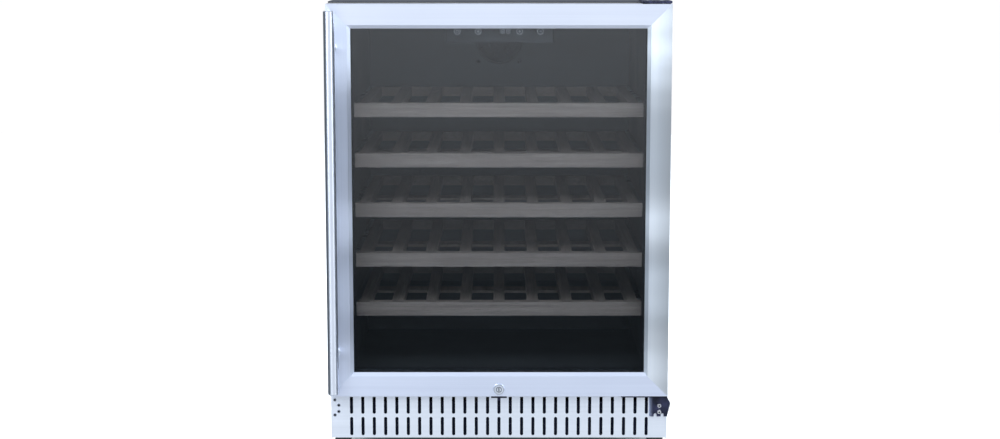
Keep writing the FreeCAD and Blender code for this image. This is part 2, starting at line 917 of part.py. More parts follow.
def bracket_ear():
    """The pointed ear at the right of the lower bracket."""
    part = doc.addObject("Part::Wedge", "lower_bracket_ear")
    part.Placement.Rotation = Rotation(Vector(0, 0, 1), -90)
    ends = {"Xmin": "0", "Xmax": "bracket_thickness", "X2min": "0", "X2max": "bracket_thickness"}
    ends.update({"Ymin": "0", "Ymax": "ear_reach", "Zmin": "ear_low", "Zmax": "ear_high"})
    ends.update({"Z2min": "ear_tip", "Z2max": "ear_tip + ear_tip_height"})
    for size, text in ends.items():
        part.setExpression(size, formula(text))
    return place(part, x="bracket_right", y="kick_front")


def bracket_notch(n, front):
    """A round-topped notch in the lower bracket's bottom edge."""
    middle = f"notch_x + {n} * notch_pitch"
    depth = (front, "kick_front")
    straight = block(
        f"lower_bracket_notch_{n}_sides", about(middle, "notch_width"), depth,
        onward("bracket_low", "notch_height"),
    )
    top = rod(
        f"lower_bracket_notch_{n}_top", "notch_width / 2", "bracket_thickness", middle, front,
        "bracket_low + notch_height", "y",
    )
    return fuse(f"lower_bracket_notch_{n}", straight, top)


def lower_hinge(plate_z, front):
    """The bracket under the door's right end, screwed to the kick plate."""
    body_z = ("bracket_low", plate_z[0])
    blank = fuse(
        "lower_bracket_blank",
        block(
            "lower_bracket_plate",
            ("bracket_left", "case_width / 2"),
            ("door_front + plate_front_gap", "case_front - plate_rear_gap"),
            plate_z,
        ),
        block("lower_bracket_body", ("bracket_body_left", "bracket_right"), (front, "kick_front"), body_z),
        bracket_flank(body_z),
        bracket_ear(),
    )
    screw_holes = [
        rod(
            f"lower_bracket_hole_{n}", "screw_radius", "bracket_thickness", "fixing_x", front,
            f"fixing_z + ({n} - 0.5) * fixing_pitch", "y",
        )
        for n in range(2)
    ]
    pin_hole = rod("lower_bracket_pin_hole", "pin_radius", "bracket_plate", hinge_x, hinge_y, plate_z[0])
    notches = [bracket_notch(n, front) for n in range(2)]
    node(cut("lower_hinge_bracket", blank, pin_hole, *screw_holes, *notches))


def upper_hinge(top, places):
    """The plate on the case's top, whose tongue holds the door's upper pin."""
    x = ("upper_left", "case_width / 2")
    joint = "case_front - upper_clearance"
    tongue = block(
        "upper_bracket_tongue", x, ("door_front + upper_tongue_gap", joint), ("door_high + upper_gap", top),
    )
    plate = block("upper_bracket_plate", x, (joint, "upper_rear"), ("case_top", top))
    holes = [
        rod(f"upper_bracket_hole_{n}", "screw_radius", "upper_plate", hole_x, hole_y, "case_top")
        for n, (hole_x, hole_y) in enumerate(places)
    ]
    pin_length = f"{top} - door_high"
    pin_hole = rod("upper_bracket_pin_hole", "pin_radius", pin_length, hinge_x, hinge_y, "door_high")
    node(cut("upper_hinge_bracket", fuse("upper_bracket_blank", tongue, plate), pin_hole, *holes))


def screw_head(name, x, y, z, along="z"):
    """A low head whose crown is three quarters as wide as its base. Along y the crown faces the door."""
    crown = "screw_head_radius * 3 / 4"
    ends = ("screw_head_radius", crown) if along == "z" else (crown, "screw_head_radius")
    return cone(name, *ends, "screw_head", x, y, z, along)


def hinges():
    """Lower and upper hinge brackets, their pins, and the screws of the brackets and the fan guard."""
    plate_top = "door_low - bracket_gap"
    plate_z = (f"{plate_top} - bracket_plate", plate_top)
    front = "kick_front - bracket_thickness"
    lower_hinge(plate_z, front)
    upper_top = "case_top + upper_plate"
    places = (
        ("upper_screw_x", "upper_screw_y"),
        ("upper_screw_x + upper_screw_pitch", "upper_screw_y"),
        ("upper_screw_x + upper_screw_pitch / 2", "upper_screw_y + upper_screw_rise"),
    )
    upper_hinge(upper_top, places)
    lower_pin = "bracket_plate + bracket_gap + pin_length"
    upper_pin = f"{upper_top} - door_high + pin_length"
    node(group(
        "hinge_pins",
        rod("lower_pin", "pin_radius", lower_pin, hinge_x, hinge_y, plate_z[0]),
        rod("upper_pin", "pin_radius", upper_pin, hinge_x, hinge_y, upper_top, "-z"),
    ))
    screws = []
    for n in range(2):
        z = f"fixing_z + ({n} - 0.5) * fixing_pitch"
        head = screw_head(f"lower_screw_head_{n}", "fixing_x", f"{front} - screw_head", z, "y")
        shank = rod(f"lower_screw_shank_{n}", "screw_radius", "screw_length", "fixing_x", front, z, "y")
        screws.append(fuse(f"lower_screw_{n}", head, shank))
    for n, (x, y) in enumerate(places):
        screws.append(screw_head(f"upper_screw_{n}", x, y, upper_top))
    for n, (side, end) in enumerate(((-1, -1), (-1, 1), (1, -1), (1, 1))):
        screws.append(screw_head(
            f"fan_screw_{n}", f"{side} * fan_fixing / 2", "cover_front - screw_head",
            f"fan_z + {end} * fan_fixing / 2", "y",
        ))
    node(group("screws", *screws))


def feet():
    """Four levelling feet that screw into the base pan."""
    stem = "case_base - foot_base - foot_flare - foot_gap"
    stud_root = "case_base - foot_flare / 2"
    for side, x in (("left", "-foot_x"), ("right", "foot_x")):
        for end in ("front", "rear"):
            name = f"foot_{end}_{side}"
            y = f"foot_{end}"
            node(fuse(
                name,
                rod(name + "_base", "foot_base_radius", "foot_base", x, y, 0),
                cone(name + "_flare", "foot_base_radius", "foot_radius", "foot_flare", x, y, "foot_base"),
                rod(name + "_stem", "foot_radius", stem, x, y, "foot_base + foot_flare"),
                rod(name + "_stud", "stud_radius", f"stud_top - ({stud_root})", x, y, stud_root),
            ))


# ---- shelves ----

def shelf_level(n):
    """The height of shelf n's top, counted from 0 at the top of the cabinet."""
    return f"shelf_top - {n} * shelf_pitch"


def rack(n):
    """A wooden rack: a fascia, slats from front to back, and rails across them."""
    name = f"shelf_{n + 1}"
    top = shelf_level(n)
    fascia_rear = "shelf_front + fascia_thickness"
    slat_z = (f"{top} - slat_drop - slat_height", f"{top} - slat_drop")
    slat_y = (fascia_rear, "shelf_rear")
    whole_x = ("-shelf_half", "shelf_half")
    fascia = block(
        name + "_fascia", ("-fascia_half", "fascia_half"), ("shelf_front", fascia_rear),
        (f"{top} - fascia_height", top),
    )
    slats = [
        block(f"{name}_slat_{k + 4}", about(f"{k} * slat_pitch", "slat_width"), slat_y, slat_z)
        for k in range(-3, 4)
    ]
    sides = [
        block(f"{name}_left_slat", onward("-shelf_half", "side_slat"), slat_y, slat_z),
        block(f"{name}_right_slat", onward("shelf_half - side_slat", "side_slat"), slat_y, slat_z),
    ]
    batten = block(
        name + "_batten", whole_x, onward("batten_front", "batten_width"),
        (f"{top} - slat_drop - slat_height - batten_height", f"{top} - slat_drop - slat_height"),
    )
    rear = block(name + "_rear_rail", whole_x, ("shelf_rear - rear_rail", "shelf_rear"), slat_z)
    node(fuse(name + "_rack", fascia, *slats, *sides, batten, rear))
    middle = about(f"{top} - slat_drop - slat_height / 2", "runner_height")
    run = (fascia_rear, "channel_rear")
    node(group(
        name + "_runners",
        block(name + "_left_runner", onward("-shelf_half - runner_width", "runner_width"), run, middle),
        block(name + "_right_runner", onward("shelf_half", "runner_width"), run, middle),
    ))


def slide_channels():
    """The fixed channels on the liner's walls in which the runners slide."""
    made = []
    hollow_height = "runner_height + 2 * channel_clearance"
    for n in range(SIZES["shelf_count"]):
        middle = f"{shelf_level(n)} - slat_drop - slat_height / 2"
        for side, sign in (("left", -1), ("right", 1)):
            name = f"channel_{n + 1}_{side}"
            wall = "liner_half"
            inner = "shelf_half + channel_gap"
            web = "shelf_half + runner_width + channel_clearance"
            outer_x = (inner, wall) if sign > 0 else (f"-({wall})", f"-({inner})")
            hollow_x = (inner, web) if sign > 0 else (f"-({web})", f"-({inner})")
            y = ("channel_front", "channel_rear")
            made.append(cut(
                name,
                block(name + "_outer", outer_x, y, about(middle, "channel_height")),
                block(name + "_hollow", hollow_x, y, about(middle, hollow_height)),
            ))
    node(group("slide_channels", *made))


# ---- back wall, fans and coils ----

def evaporator_cover():
    """The sheet in front of the evaporator, with the fan's hole and the return-air slots."""
    body = body_with_sheet(
        "evaporator_cover",
        inset(("-liner_half", "liner_half"), "cover_clearance"),
        ("step_top + cover_clearance", "liner_ceiling - cover_clearance"),
        "cover_front",
        "cover_sheet",
    )
    hole = sketch_on_front(body, "cover_fan_outline")
    hole.addGeometry(Part.Circle(Vector(9, 9), Vector(0, 0, 1), 3), False)
    number = hole.addConstraint(Sketcher.Constraint("Radius", 0, 3.0))
    hole.setExpression(f"Constraints[{number}]", formula("fan_bore"))
    fix(hole, "X", 0, 3, "0")
    fix(hole, "Y", 0, 3, "fan_z")
    pocket(body, hole, "cover_fan_hole")
    slots = sketch_on_front(body, "cover_slot_outline")
    first = "-(grille_columns - 1) / 2 * grille_pitch"
    sketch_slot(slots, first, onward("grille_low", "grille_height"), "grille_slot")
    cutout = pocket(body, slots, "cover_slot")
    repeat_across(body, cutout, slots, "cover_slots", "grille_columns", "grille_pitch")
    node(body)


def rotor(name, x, y, z, tip):
    """A hub on which pitched blades stand, with a bore for the fixed spindle."""
    middle = f"({y}) + hub_depth / 2"
    hub = rod(name + "_hub", "hub_radius", "hub_depth", x, y, z, "y")
    blades = []
    count = SIZES["fan_blades"]
    start = "hub_radius - hub_wall"
    for n in range(count):
        blade = doc.addObject("Part::Box", f"{name}_blade_{n + 1}")
        blade.setExpression("Length", formula(f"{tip} - ({start})"))
        blade.setExpression("Width", formula("blade_chord"))
        blade.setExpression("Height", formula("blade_thickness"))
        spin = Rotation(Vector(0, 1, 0), 360 * n / count)
        pitch = Rotation(Vector(1, 0, 0), SIZES["blade_pitch"])
        blade.Placement.Rotation = spin.multiply(pitch)
        along = spin.multVec(Vector(1, 0, 0))
        back = spin.multiply(pitch).multVec(Vector(0, -0.5, 0))
        flat = spin.multiply(pitch).multVec(Vector(0, 0, -0.5))
        corner = [
            f"({centre}) + {out:.6f} * ({start}) + {aside:.6f} * blade_chord + {under:.6f} * blade_thickness"
            for centre, out, aside, under in zip((x, middle, z), along, back, flat)
        ]
        place(blade, *corner)
        blades.append(blade)
    bore = rod(
        name + "_bore", "spindle_radius + spindle_clearance", "hub_depth - hub_wall", x,
        f"({y}) + hub_wall", z, "y",
    )
    node(cut(name, fuse(name + "_blank", hub, *blades), bore))


def fan_frame(name, x, y, z, size, bore):
    """A square frame whose rear spider carries the spindle."""
    whole = block(name + "_block", about(x, size), onward(y, "fan_frame_depth"), about(z, size))
    ring = cut(name + "_ring", whole, rod(name + "_bore", bore, "fan_frame_depth", x, y, z, "y"))
    spider_y = onward(f"({y}) + fan_frame_depth - spider_depth", "spider_depth")
    arm_length = f"{size} - 2 * spider_inset"
    arms = [
        block(name + "_arm_across", about(x, arm_length), spider_y, about(z, "spider_arm")),
        block(name + "_arm_up", about(x, "spider_arm"), spider_y, about(z, arm_length)),
    ]
    spindle_start = f"({y}) + rotor_gap + hub_wall + spindle_end_gap"
    spindle = rod(
        name + "_spindle", "spindle_radius", f"{spider_y[1]} - ({spindle_start})", x, spindle_start, z, "y",
    )
    motor = rod(name + "_motor", "hub_radius", "spider_depth", x, spider_y[0], z, "y")
    node(fuse(name, ring, *arms, motor, spindle))


def evaporator_fan():
    """Frame and rotor behind the cover, with the round guard and its screws in front."""
    start = "cover_front + cover_sheet"
    fan_frame("evaporator_fan_frame", "0", start, "fan_z", "fan_frame", "fan_bore")
    rotor("evaporator_fan_rotor", "0", f"{start} + rotor_gap", "fan_z", "blade_tip")
    y = "cover_front - guard_wire"
    rings = []
    for n in range(SIZES["guard_rings"]):
        ring = doc.addObject("Part::Torus", f"guard_ring_{n + 1}")
        ring.setExpression("Radius1", formula(f"guard_radius - {n} * guard_pitch"))
        ring.setExpression("Radius2", formula("guard_wire"))
        ring.Placement.Rotation = TURNS["y"]
        rings.append(place(ring, 0, y, "fan_z"))
    reach, spoke = "2 * guard_radius", "2 * guard_wire"
    spokes = [
        block("guard_spoke_across", about("0", reach), about(y, "guard_wire"), about("fan_z", spoke)),
        block("guard_spoke_up", about("0", spoke), about(y, "guard_wire"), about("fan_z", reach)),
    ]
    node(fuse("fan_guard", *rings, *spokes))


def evaporator_coil():
    """A finned block with tubes that stand out of both ends."""
    y = onward("coil_front", "coil_depth")
    fins = block("coil_fins", ("-coil_half", "coil_half"), y, ("coil_low", "coil_high"))
    tubes = []
    count = SIZES["coil_tubes"]
    for n in range(count):
        z = f"coil_low + ({n} + 0.5) * (coil_high - coil_low) / coil_tubes"
        tubes.append(rod(
            f"coil_tube_{n + 1}", "coil_tube_radius", "2 * (coil_half + tube_reach)",
            "-coil_half - tube_reach", "coil_front + coil_depth / 2", z, "x",
        ))
    node(fuse("evaporator_coil", fins, *tubes))


def controls():
    """The housing under the ceiling with four push buttons, a display window and a lamp beside it."""
    x = about("control_x", "2 * control_half")
    depth = onward("control_front", "control_depth")
    box = block("control_blank", x, depth, ("control_low", "liner_ceiling"))
    shaped = softened("control_rounded", box, "Fillet", "control_corner", is_upright)
    centres = {
        "button_power": "-button_outer",
        "button_light": "-button_inner",
        "button_up": "button_inner",
        "button_down": "button_outer",
    }
    wells = [
        rod(name + "_well", "button_radius + button_clearance", "button_depth", centre, "control_front",
            "button_z", "y")
        for name, centre in centres.items()
    ]
    window_x = about("window_x", "window_width")
    window_z = about("button_z", "window_height")
    window_y = onward("control_front", "window_depth")
    seat = block("window_seat", window_x, window_y, window_z)
    node(cut("control_housing", shaped, seat, *wells))
    node(block("display_window", window_x, window_y, window_z))
    start = "control_front - button_proud"
    length = "button_proud + button_depth - button_room"
    for name, centre in centres.items():
        cap = rod(name + "_blank", "button_radius", length, centre, start, "button_z", "y")
        node(softened(name, cap, "Chamfer", "button_chamfer", is_round))
    lamp_z = ("liner_ceiling - lamp_drop", "liner_ceiling")
    node(block("ceiling_lamp", ("lamp_left", "lamp_right"), depth, lamp_z))


# ---- machine room ----

def compressor():
    """The compressor on its plate and four grommets."""
    x, y = "compressor_x", "compressor_y"
    plate_low = "compressor_low - compressor_foot_sheet"
    can_height = "compressor_high - compressor_low"
    node(fuse(
        "compressor",
        rod("compressor_can", "compressor_radius", can_height, x, y, "compressor_low"),
        cone(
            "compressor_dome_cone", "compressor_radius", "compressor_crown", "compressor_dome", x, y,
            "compressor_high",
        ),
        block(
            "compressor_plate", about(x, "compressor_foot"), about(y, "compressor_foot_depth"),
            onward(plate_low, "compressor_foot_sheet"),
        ),
    ))
    pan_top = "case_base + pan_sheet"
    grommets = [
        rod(
            f"compressor_grommet_{n + 1}", "grommet_radius", f"{plate_low} - ({pan_top})",
            f"{x} + {side} * grommet_x", f"{y} + {end} * grommet_y", pan_top,
        )
        for n, (side, end) in enumerate(((-1, -1), (-1, 1), (1, -1), (1, 1)))
    ]
    node(group("compressor_grommets", *grommets))


def condenser():
    """The finned condenser with its headers, and the fan behind it."""
    x = ("condenser_left", "condenser_right")
    height = "condenser_high - condenser_low"
    middle = "condenser_front + condenser_depth / 2"
    node(fuse(
        "condenser",
        block(
            "condenser_fins", x, onward("condenser_front", "condenser_depth"),
            ("condenser_low", "condenser_high"),
        ),
        block(
            "condenser_bracket", x, onward("condenser_front", "condenser_bracket_depth"),
            ("case_base + pan_sheet", "condenser_low"),
        ),
        rod("condenser_header_left", "condenser_header", height, x[0], middle, "condenser_low"),
        rod("condenser_header_right", "condenser_header", height, x[1], middle, "condenser_low"),
    ))
    start = "condenser_front + condenser_depth + cooling_gap"
    fan_frame("condenser_fan_frame", "cooling_x", start, "cooling_z", "cooling_frame", "cooling_bore")
    rotor("condenser_fan_rotor", "cooling_x", f"{start} + rotor_gap", "cooling_z", "cooling_tip")


def power_inlet():
    """The socket in the rear panel for a mains lead, with three blades inside."""
    flange_x = about("inlet_x", "inlet_width + 2 * inlet_flange")
    flange_z = about("inlet_z", "inlet_height + inlet_flange")
    body_y = ("case_back - inlet_depth", "case_back")
    shell = fuse(
        "inlet_blank",
        block("inlet_body", about("inlet_x", "inlet_width"), body_y, about("inlet_z", "inlet_height")),
        block("inlet_flange_block", flange_x, onward("case_back", "pan_sheet"), flange_z),
    )
    mouth_y = (f"{body_y[0]} + 2 * inlet_wall", "case_back + pan_sheet")
    mouth = block(
        "inlet_mouth", about("inlet_x", "inlet_width - 2 * inlet_wall"), mouth_y,
        about("inlet_z", "inlet_height - 2 * inlet_wall"),
    )
    hollow = cut("inlet_shell", shell, mouth)
    blades = [
        block(
            f"inlet_blade_{n + 2}",
            about(f"inlet_x + {n} * inlet_pitch", "inlet_blade"),
            (mouth_y[0], "case_back - inlet_recess"),
            about(f"inlet_z + {rise} * inlet_rise", "inlet_blade_height"),
        )
        for n, rise in ((-1, -1), (0, 1), (1, -1))
    ]
    node(fuse("power_inlet", hollow, *blades))


door_sides()
glass_unit()
inner_frame()
gasket()
handle()
lock()
bushes()
cabinet_shell()
rear_panel()
liner()
kick_plate()
lock_keeper()
hinges()
feet()
for level in range(SIZES["shelf_count"]):
    rack(level)
slide_channels()
evaporator_cover()
evaporator_fan()
evaporator_coil()
controls()
compressor()
condenser()
power_inlet()

doc.recompute()
for thing in doc.Objects:
    if {"Invalid", "Error"} & set(thing.State):
        raise RuntimeError(f"{thing.Name} did not compute: {thing.State}")
    shape = getattr(thing, "Shape", None)
    if isinstance(shape, Part.Shape) and thing in nodes and (shape.isNull() or not shape.isValid()):
        raise RuntimeError(f"{thing.Name} has no valid shape")

os.makedirs("parts", exist_ok=True)
for part in nodes:
    part.Shape.exportStep(f"parts/{part.Label}.step")
    box = part.Shape.BoundBox
    print(
        f"{part.Label:24s} solids {len(part.Shape.Solids):2d} volume {part.Shape.Volume / 1000:10.1f} cm3"
        f"  x {box.XMin:8.2f} {box.XMax:8.2f}  y {box.YMin:8.2f} {box.YMax:8.2f}"
        f"  z {box.ZMin:7.2f} {box.ZMax:7.2f}"
    )
print(len(nodes), "nodes")
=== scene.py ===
import math

import bmesh
import bpy
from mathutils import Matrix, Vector


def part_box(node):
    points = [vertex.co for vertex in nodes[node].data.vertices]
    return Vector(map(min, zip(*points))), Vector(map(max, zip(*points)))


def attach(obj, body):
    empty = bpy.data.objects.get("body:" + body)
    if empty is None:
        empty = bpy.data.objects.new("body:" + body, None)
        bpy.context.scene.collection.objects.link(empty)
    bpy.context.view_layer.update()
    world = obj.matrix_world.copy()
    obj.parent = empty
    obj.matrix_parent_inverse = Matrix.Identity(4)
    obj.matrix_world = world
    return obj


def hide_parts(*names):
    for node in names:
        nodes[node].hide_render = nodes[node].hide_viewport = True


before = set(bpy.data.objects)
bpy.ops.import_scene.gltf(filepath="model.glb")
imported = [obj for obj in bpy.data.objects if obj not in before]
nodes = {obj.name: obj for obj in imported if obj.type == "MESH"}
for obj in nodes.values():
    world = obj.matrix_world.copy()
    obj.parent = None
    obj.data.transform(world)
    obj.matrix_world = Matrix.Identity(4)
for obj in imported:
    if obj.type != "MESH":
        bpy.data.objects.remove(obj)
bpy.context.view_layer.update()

MM = 0.001


# ---- node-based materials ----

class Finish:
    """A Principled material whose patterns come from nodes in the object's own metres."""

    def __init__(self, name, **sockets):
        self.material = bpy.data.materials.new(name)
        self.material.use_nodes = True
        self.tree = self.material.node_tree
        self.shader = self.tree.nodes["Principled BSDF"]
        self.output = self.tree.nodes["Material Output"]
        for socket, value in sockets.items():
            self.shader.inputs[socket.replace("_", " ")].default_value = value
        self.bumped = None

    def node(self, kind, **settings):
        made = self.tree.nodes.new("ShaderNode" + kind)
        for key, value in settings.items():
            setattr(made, key, value)
        return made

    def link(self, source, target):
        self.tree.links.new(source, target)

    def position(self, axis):
        """One of the object's own coordinates, in metres: X, Y or Z."""
        parts = self.node("SeparateXYZ")
        self.link(self.node("TexCoord").outputs["Object"], parts.inputs["Vector"])
        return parts.outputs[axis]

    def noise(self, stretch, detail=2.0, rough=0.5, distortion=0.0):
        """Noise from 0 to 1, with stretch as its number of features in a metre along X, Y and Z."""
        mapping = self.node("Mapping")
        mapping.inputs["Scale"].default_value = stretch
        self.link(self.node("TexCoord").outputs["Object"], mapping.inputs["Vector"])
        made = self.node("TexNoise")
        made.inputs["Scale"].default_value = 1.0
        made.inputs["Detail"].default_value = detail
        made.inputs["Roughness"].default_value = rough
        made.inputs["Distortion"].default_value = distortion
        self.link(mapping.outputs["Vector"], made.inputs["Vector"])
        return made.outputs["Fac"]

    def waves(self, low, high, stops):
        """A smooth relief along Z between two heights, by stops of (height, level from 0 to 1)."""
        place = self.between(self.position("Z"), low, high, 0.0, 1.0)
        steps = [((z - low) / (high - low), (level,) * 3) for z, level in stops]
        return self.ramp(place, steps, "EASE")

    def between(self, value, low, high, to_low, to_high):
        """A value taken from one range to another, without going past its ends."""
        made = self.node("MapRange")
        for socket, number in zip(("From Min", "From Max", "To Min", "To Max"), (low, high, to_low, to_high)):
            made.inputs[socket].default_value = number
        self.link(value, made.inputs["Value"])
        return made.outputs["Result"]

    def calculate(self, operation, first, second):
        """Arithmetic on two values, each a number or a socket."""
        made = self.node("Math", operation=operation)
        for socket, value in zip(made.inputs, (first, second)):
            if isinstance(value, (int, float)):
                socket.default_value = value
            else:
                self.link(value, socket)
        return made.outputs["Value"]

    def ramp(self, value, stops, style="LINEAR"):
        """A colour from a value, by stops of (position, colour)."""
        made = self.node("ValToRGB")
        band = made.color_ramp
        band.interpolation = style
        for index, (position, colour) in enumerate(stops):
            stop = band.elements[index] if index < 2 else band.elements.new(position)
            stop.position = position
            stop.color = (*colour, 1)
        self.link(value, made.inputs["Fac"])
        return made.outputs["Color"]

    def mixed(self, share, first, second):
        """The first colour where share is 0, and the second where it is 1."""
        made = self.node("Mix", data_type="RGBA")
        self.link(share, made.inputs["Factor"])
        for socket, value in ((made.inputs[6], first), (made.inputs[7], second)):
            if isinstance(value, tuple):
                socket.default_value = (*value, 1)
            else:
                self.link(value, socket)
        return made.outputs[2]

    def colour(self, value):
        self.link(value, self.shader.inputs["Base Color"])

    def roughness(self, value):
        self.link(value, self.shader.inputs["Roughness"])

    def bump(self, height, depth, strength=1.0):
        """Adds a relief, in metres, to those already there."""
        made = self.node("Bump")
        made.inputs["Strength"].default_value = strength
        made.inputs["Distance"].default_value = depth
        self.link(height, made.inputs["Height"])
        if self.bumped:
            self.link(self.bumped, made.inputs["Normal"])
        self.bumped = made.outputs["Normal"]
        self.link(self.bumped, self.shader.inputs["Normal"])


# slow unevenness of the door's upright sheets: height above the floor, and level
SHEET_LOW, SHEET_HIGH = 0.06, 0.86
SHEET_WAVES = [
    (SHEET_LOW, 1.0), (0.254, 0.06), (0.378, 0.42), (0.487, 0.12), (0.663, 0.57), (SHEET_HIGH, 0.0),
]

# the brushing's fine lines and its broader streaks, as features in a metre along X, Y and Z
BRUSHING = {
    "X": ((3.0, 900.0, 900.0), (1.2, 160.0, 160.0)),
    "Z": ((900.0, 900.0, 3.0), (160.0, 160.0, 1.2)),
    "ROUND": ((3.0, 3.0, 400.0), (1.2, 1.2, 12.0)),
}


def brushed(name, along, light, dark, rough=(0.34, 0.46), wave=0.0, grit=0.35, edge=None):
    """Brushed stainless steel with its lines along X or Z, or ROUND a bar that stands along Z.

    wave is the depth of the sheet's unevenness in metres, grit the strength of the fine lines, and edge an
    (x, x, level) over which the colour falls to that level, as painted shade towards the sheet's side."""
    finish = Finish(name, Metallic=1.0, Anisotropic=0.85)
    lines, streaks = BRUSHING[along]
    fine = finish.noise(lines, detail=3.0, rough=0.7)
    coarse = finish.noise(streaks, detail=2.0, rough=0.6)
    clouds = finish.noise((5.0, 5.0, 5.0), detail=2.0, rough=0.5)
    share = finish.calculate(
        "ADD", finish.calculate("MULTIPLY", coarse, 0.55), finish.calculate("MULTIPLY", clouds, 0.45))
    steel = finish.ramp(share, [(0.32, dark), (0.62, light)])
    # painted shade: the colour falls towards the sheet's outer side
    if edge:
        start, end, level = edge
        shade = tuple(level * value for value in light)
        steel = finish.mixed(finish.between(finish.position("X"), start, end, 0.0, 1.0), steel, shade)
    finish.colour(steel)
    finish.roughness(finish.between(fine, 0.3, 0.7, *rough))
    finish.bump(fine, 0.00002, grit)
    if wave:
        finish.bump(finish.waves(SHEET_LOW, SHEET_HIGH, SHEET_WAVES), wave, 1.0)
        finish.bump(finish.noise((3.0, 3.0, 14.0), detail=1.0), wave, 0.10)
    across = finish.node("VectorTransform", vector_type="VECTOR", convert_from="OBJECT", convert_to="WORLD")
    across.inputs["Vector"].default_value = (1, 0, 0) if along == "Z" else (0, 0, 1)
    finish.link(across.outputs["Vector"], finish.shader.inputs["Tangent"])
    return finish.material


def painted(name, light, dark, rough=(0.35, 0.45), grain=700.0, relief=0.00003, **sockets):
    """Sprayed or moulded surface: orange peel, and a little dust and handling."""
    finish = Finish(name, **sockets)
    peel = finish.noise((grain,) * 3, detail=2.0)
    clouds = finish.noise((9.0,) * 3, detail=4.0, rough=0.6)
    finish.colour(finish.ramp(clouds, [(0.35, dark), (0.65, light)]))
    finish.roughness(finish.between(clouds, 0.35, 0.65, *rough))
    finish.bump(peel, relief, 0.6)
    return finish.material


def fasteners(name):
    """Bright zinc at the hinges and black coating at the fan guard."""
    finish = Finish(name, Metallic=1.0)
    clouds = finish.noise((400.0,) * 3, detail=3.0)
    zinc = finish.ramp(clouds, [(0.3, (0.84, 0.86, 0.90)), (0.7, (0.96, 0.97, 1.0))])
    guard_side = 0.19
    inside = finish.between(finish.position("Y"), guard_side, guard_side + MM, 0.0, 1.0)
    finish.colour(finish.mixed(inside, zinc, (0.012, 0.012, 0.014)))
    finish.roughness(finish.between(clouds, 0.3, 0.7, 0.22, 0.36))
    finish.bump(clouds, 0.00002, 0.5)
    return finish.material


def base_steel(name):
    """Black paint under the cabinet, and bare steel on the cheeks beside the kick plate."""
    finish = Finish(name)
    clouds = finish.noise((9.0,) * 3, detail=4.0, rough=0.6)
    case_front = -0.2125
    bare = finish.between(finish.position("Y"), case_front - MM / 2, case_front + MM / 2, 1.0, 0.0)
    paint = finish.ramp(clouds, [(0.35, (0.014, 0.015, 0.018)), (0.65, (0.022, 0.024, 0.028))])
    finish.colour(finish.mixed(bare, paint, (0.74, 0.78, 0.87)))
    finish.link(bare, finish.shader.inputs["Metallic"])
    finish.roughness(finish.between(clouds, 0.35, 0.65, 0.45, 0.55))
    finish.bump(finish.noise((700.0,) * 3, detail=2.0), 0.00003, 0.5)
    return finish.material


def blackened(name):
    """Blue-black coated steel, with a painted sheen across the lower bracket's bent flank."""
    finish = Finish(name, Specular_IOR_Level=0.16)
    clouds = finish.noise((60.0,) * 3, detail=3.0, rough=0.6)
    coat = finish.ramp(clouds, [(0.38, (0.003, 0.004, 0.010)), (0.62, (0.010, 0.012, 0.032))])
    flank_start, flank_end, plate_underside = 0.265, 0.275, 0.122
    place = finish.between(finish.position("X"), flank_start, flank_end, 0.0, 1.0)
    # painted highlight: a light stripe across the bent flank of the lower bracket
    painted_flank_sheen = finish.ramp(place, [
        (0.06, (0, 0, 0)), (0.12, (0.8,) * 3), (0.4, (0.25,) * 3), (0.75, (0, 0, 0)),
    ])
    low = finish.between(finish.position("Z"), plate_underside - MM / 2, plate_underside + MM / 2, 1.0, 0.0)
    finish.colour(finish.mixed(finish.calculate("MULTIPLY", painted_flank_sheen, low), coat, (0.17, 0.20, 0.28)))
    finish.roughness(finish.between(clouds, 0.35, 0.65, 0.36, 0.50))
    finish.bump(finish.noise((900.0,) * 3, detail=2.0), 0.00003, 0.6)
    return finish.material


def wood(name):
    """Stained beech: grain along X in the front board and rails, along Y in the slats."""
    finish = Finish(name, Specular_IOR_Level=0.35)
    board_back, blur = -0.177, 0.2 * MM
    front_board = finish.between(finish.position("Y"), board_back - blur, board_back + blur, 1.0, 0.0)
    across = finish.noise((6.0, 140.0, 220.0), detail=6.0, rough=0.62, distortion=0.4)
    lengthways = finish.noise((140.0, 6.0, 220.0), detail=6.0, rough=0.62, distortion=0.4)
    grain = finish.mixed(front_board, lengthways, across)
    pores_across = finish.noise((40.0, 900.0, 1400.0), detail=2.0)
    pores_lengthways = finish.noise((900.0, 40.0, 1400.0), detail=2.0)
    pores = finish.mixed(front_board, pores_lengthways, pores_across)
    tone = finish.ramp(grain, [
        (0.30, (0.21, 0.16, 0.135)), (0.52, (0.27, 0.21, 0.178)), (0.72, (0.32, 0.26, 0.222)),
    ])
    finish.colour(finish.mixed(finish.between(pores, 0.58, 0.72, 0.0, 0.55), tone, (0.14, 0.10, 0.08)))
    finish.roughness(finish.between(pores, 0.3, 0.7, 0.48, 0.66))
    finish.bump(pores, 0.00012, 0.6)
    finish.bump(grain, 0.0002, 0.4)
    return finish.material


def smoked(name, tint):
    """A pane darkened by its tint, with a reflection that grows where it is seen at a slant."""
    facing, smear = 0.04, 0.012
    finish = Finish(name)
    clouds = finish.noise((4.0, 4.0, 4.0), detail=3.0)
    through = finish.node("BsdfTransparent")
    through.inputs["Color"].default_value = (*tint, 1)
    grazing = finish.calculate("POWER", finish.node("LayerWeight").outputs["Facing"], 5.0)
    share = finish.calculate("ADD", finish.calculate("MULTIPLY", grazing, 1.0 - facing), facing)
    gloss = finish.node("BsdfGlossy")
    gloss.inputs["Color"].default_value = (1, 1, 1, 1)
    finish.link(finish.between(clouds, 0.35, 0.7, 0.0, smear), gloss.inputs["Roughness"])
    blend = finish.node("MixShader")
    finish.link(share, blend.inputs["Fac"])
    finish.link(through.outputs["BSDF"], blend.inputs[1])
    finish.link(gloss.outputs["BSDF"], blend.inputs[2])
    finish.link(blend.outputs["Shader"], finish.output.inputs["Surface"])
    finish.tree.nodes.remove(finish.shader)
    return finish.material
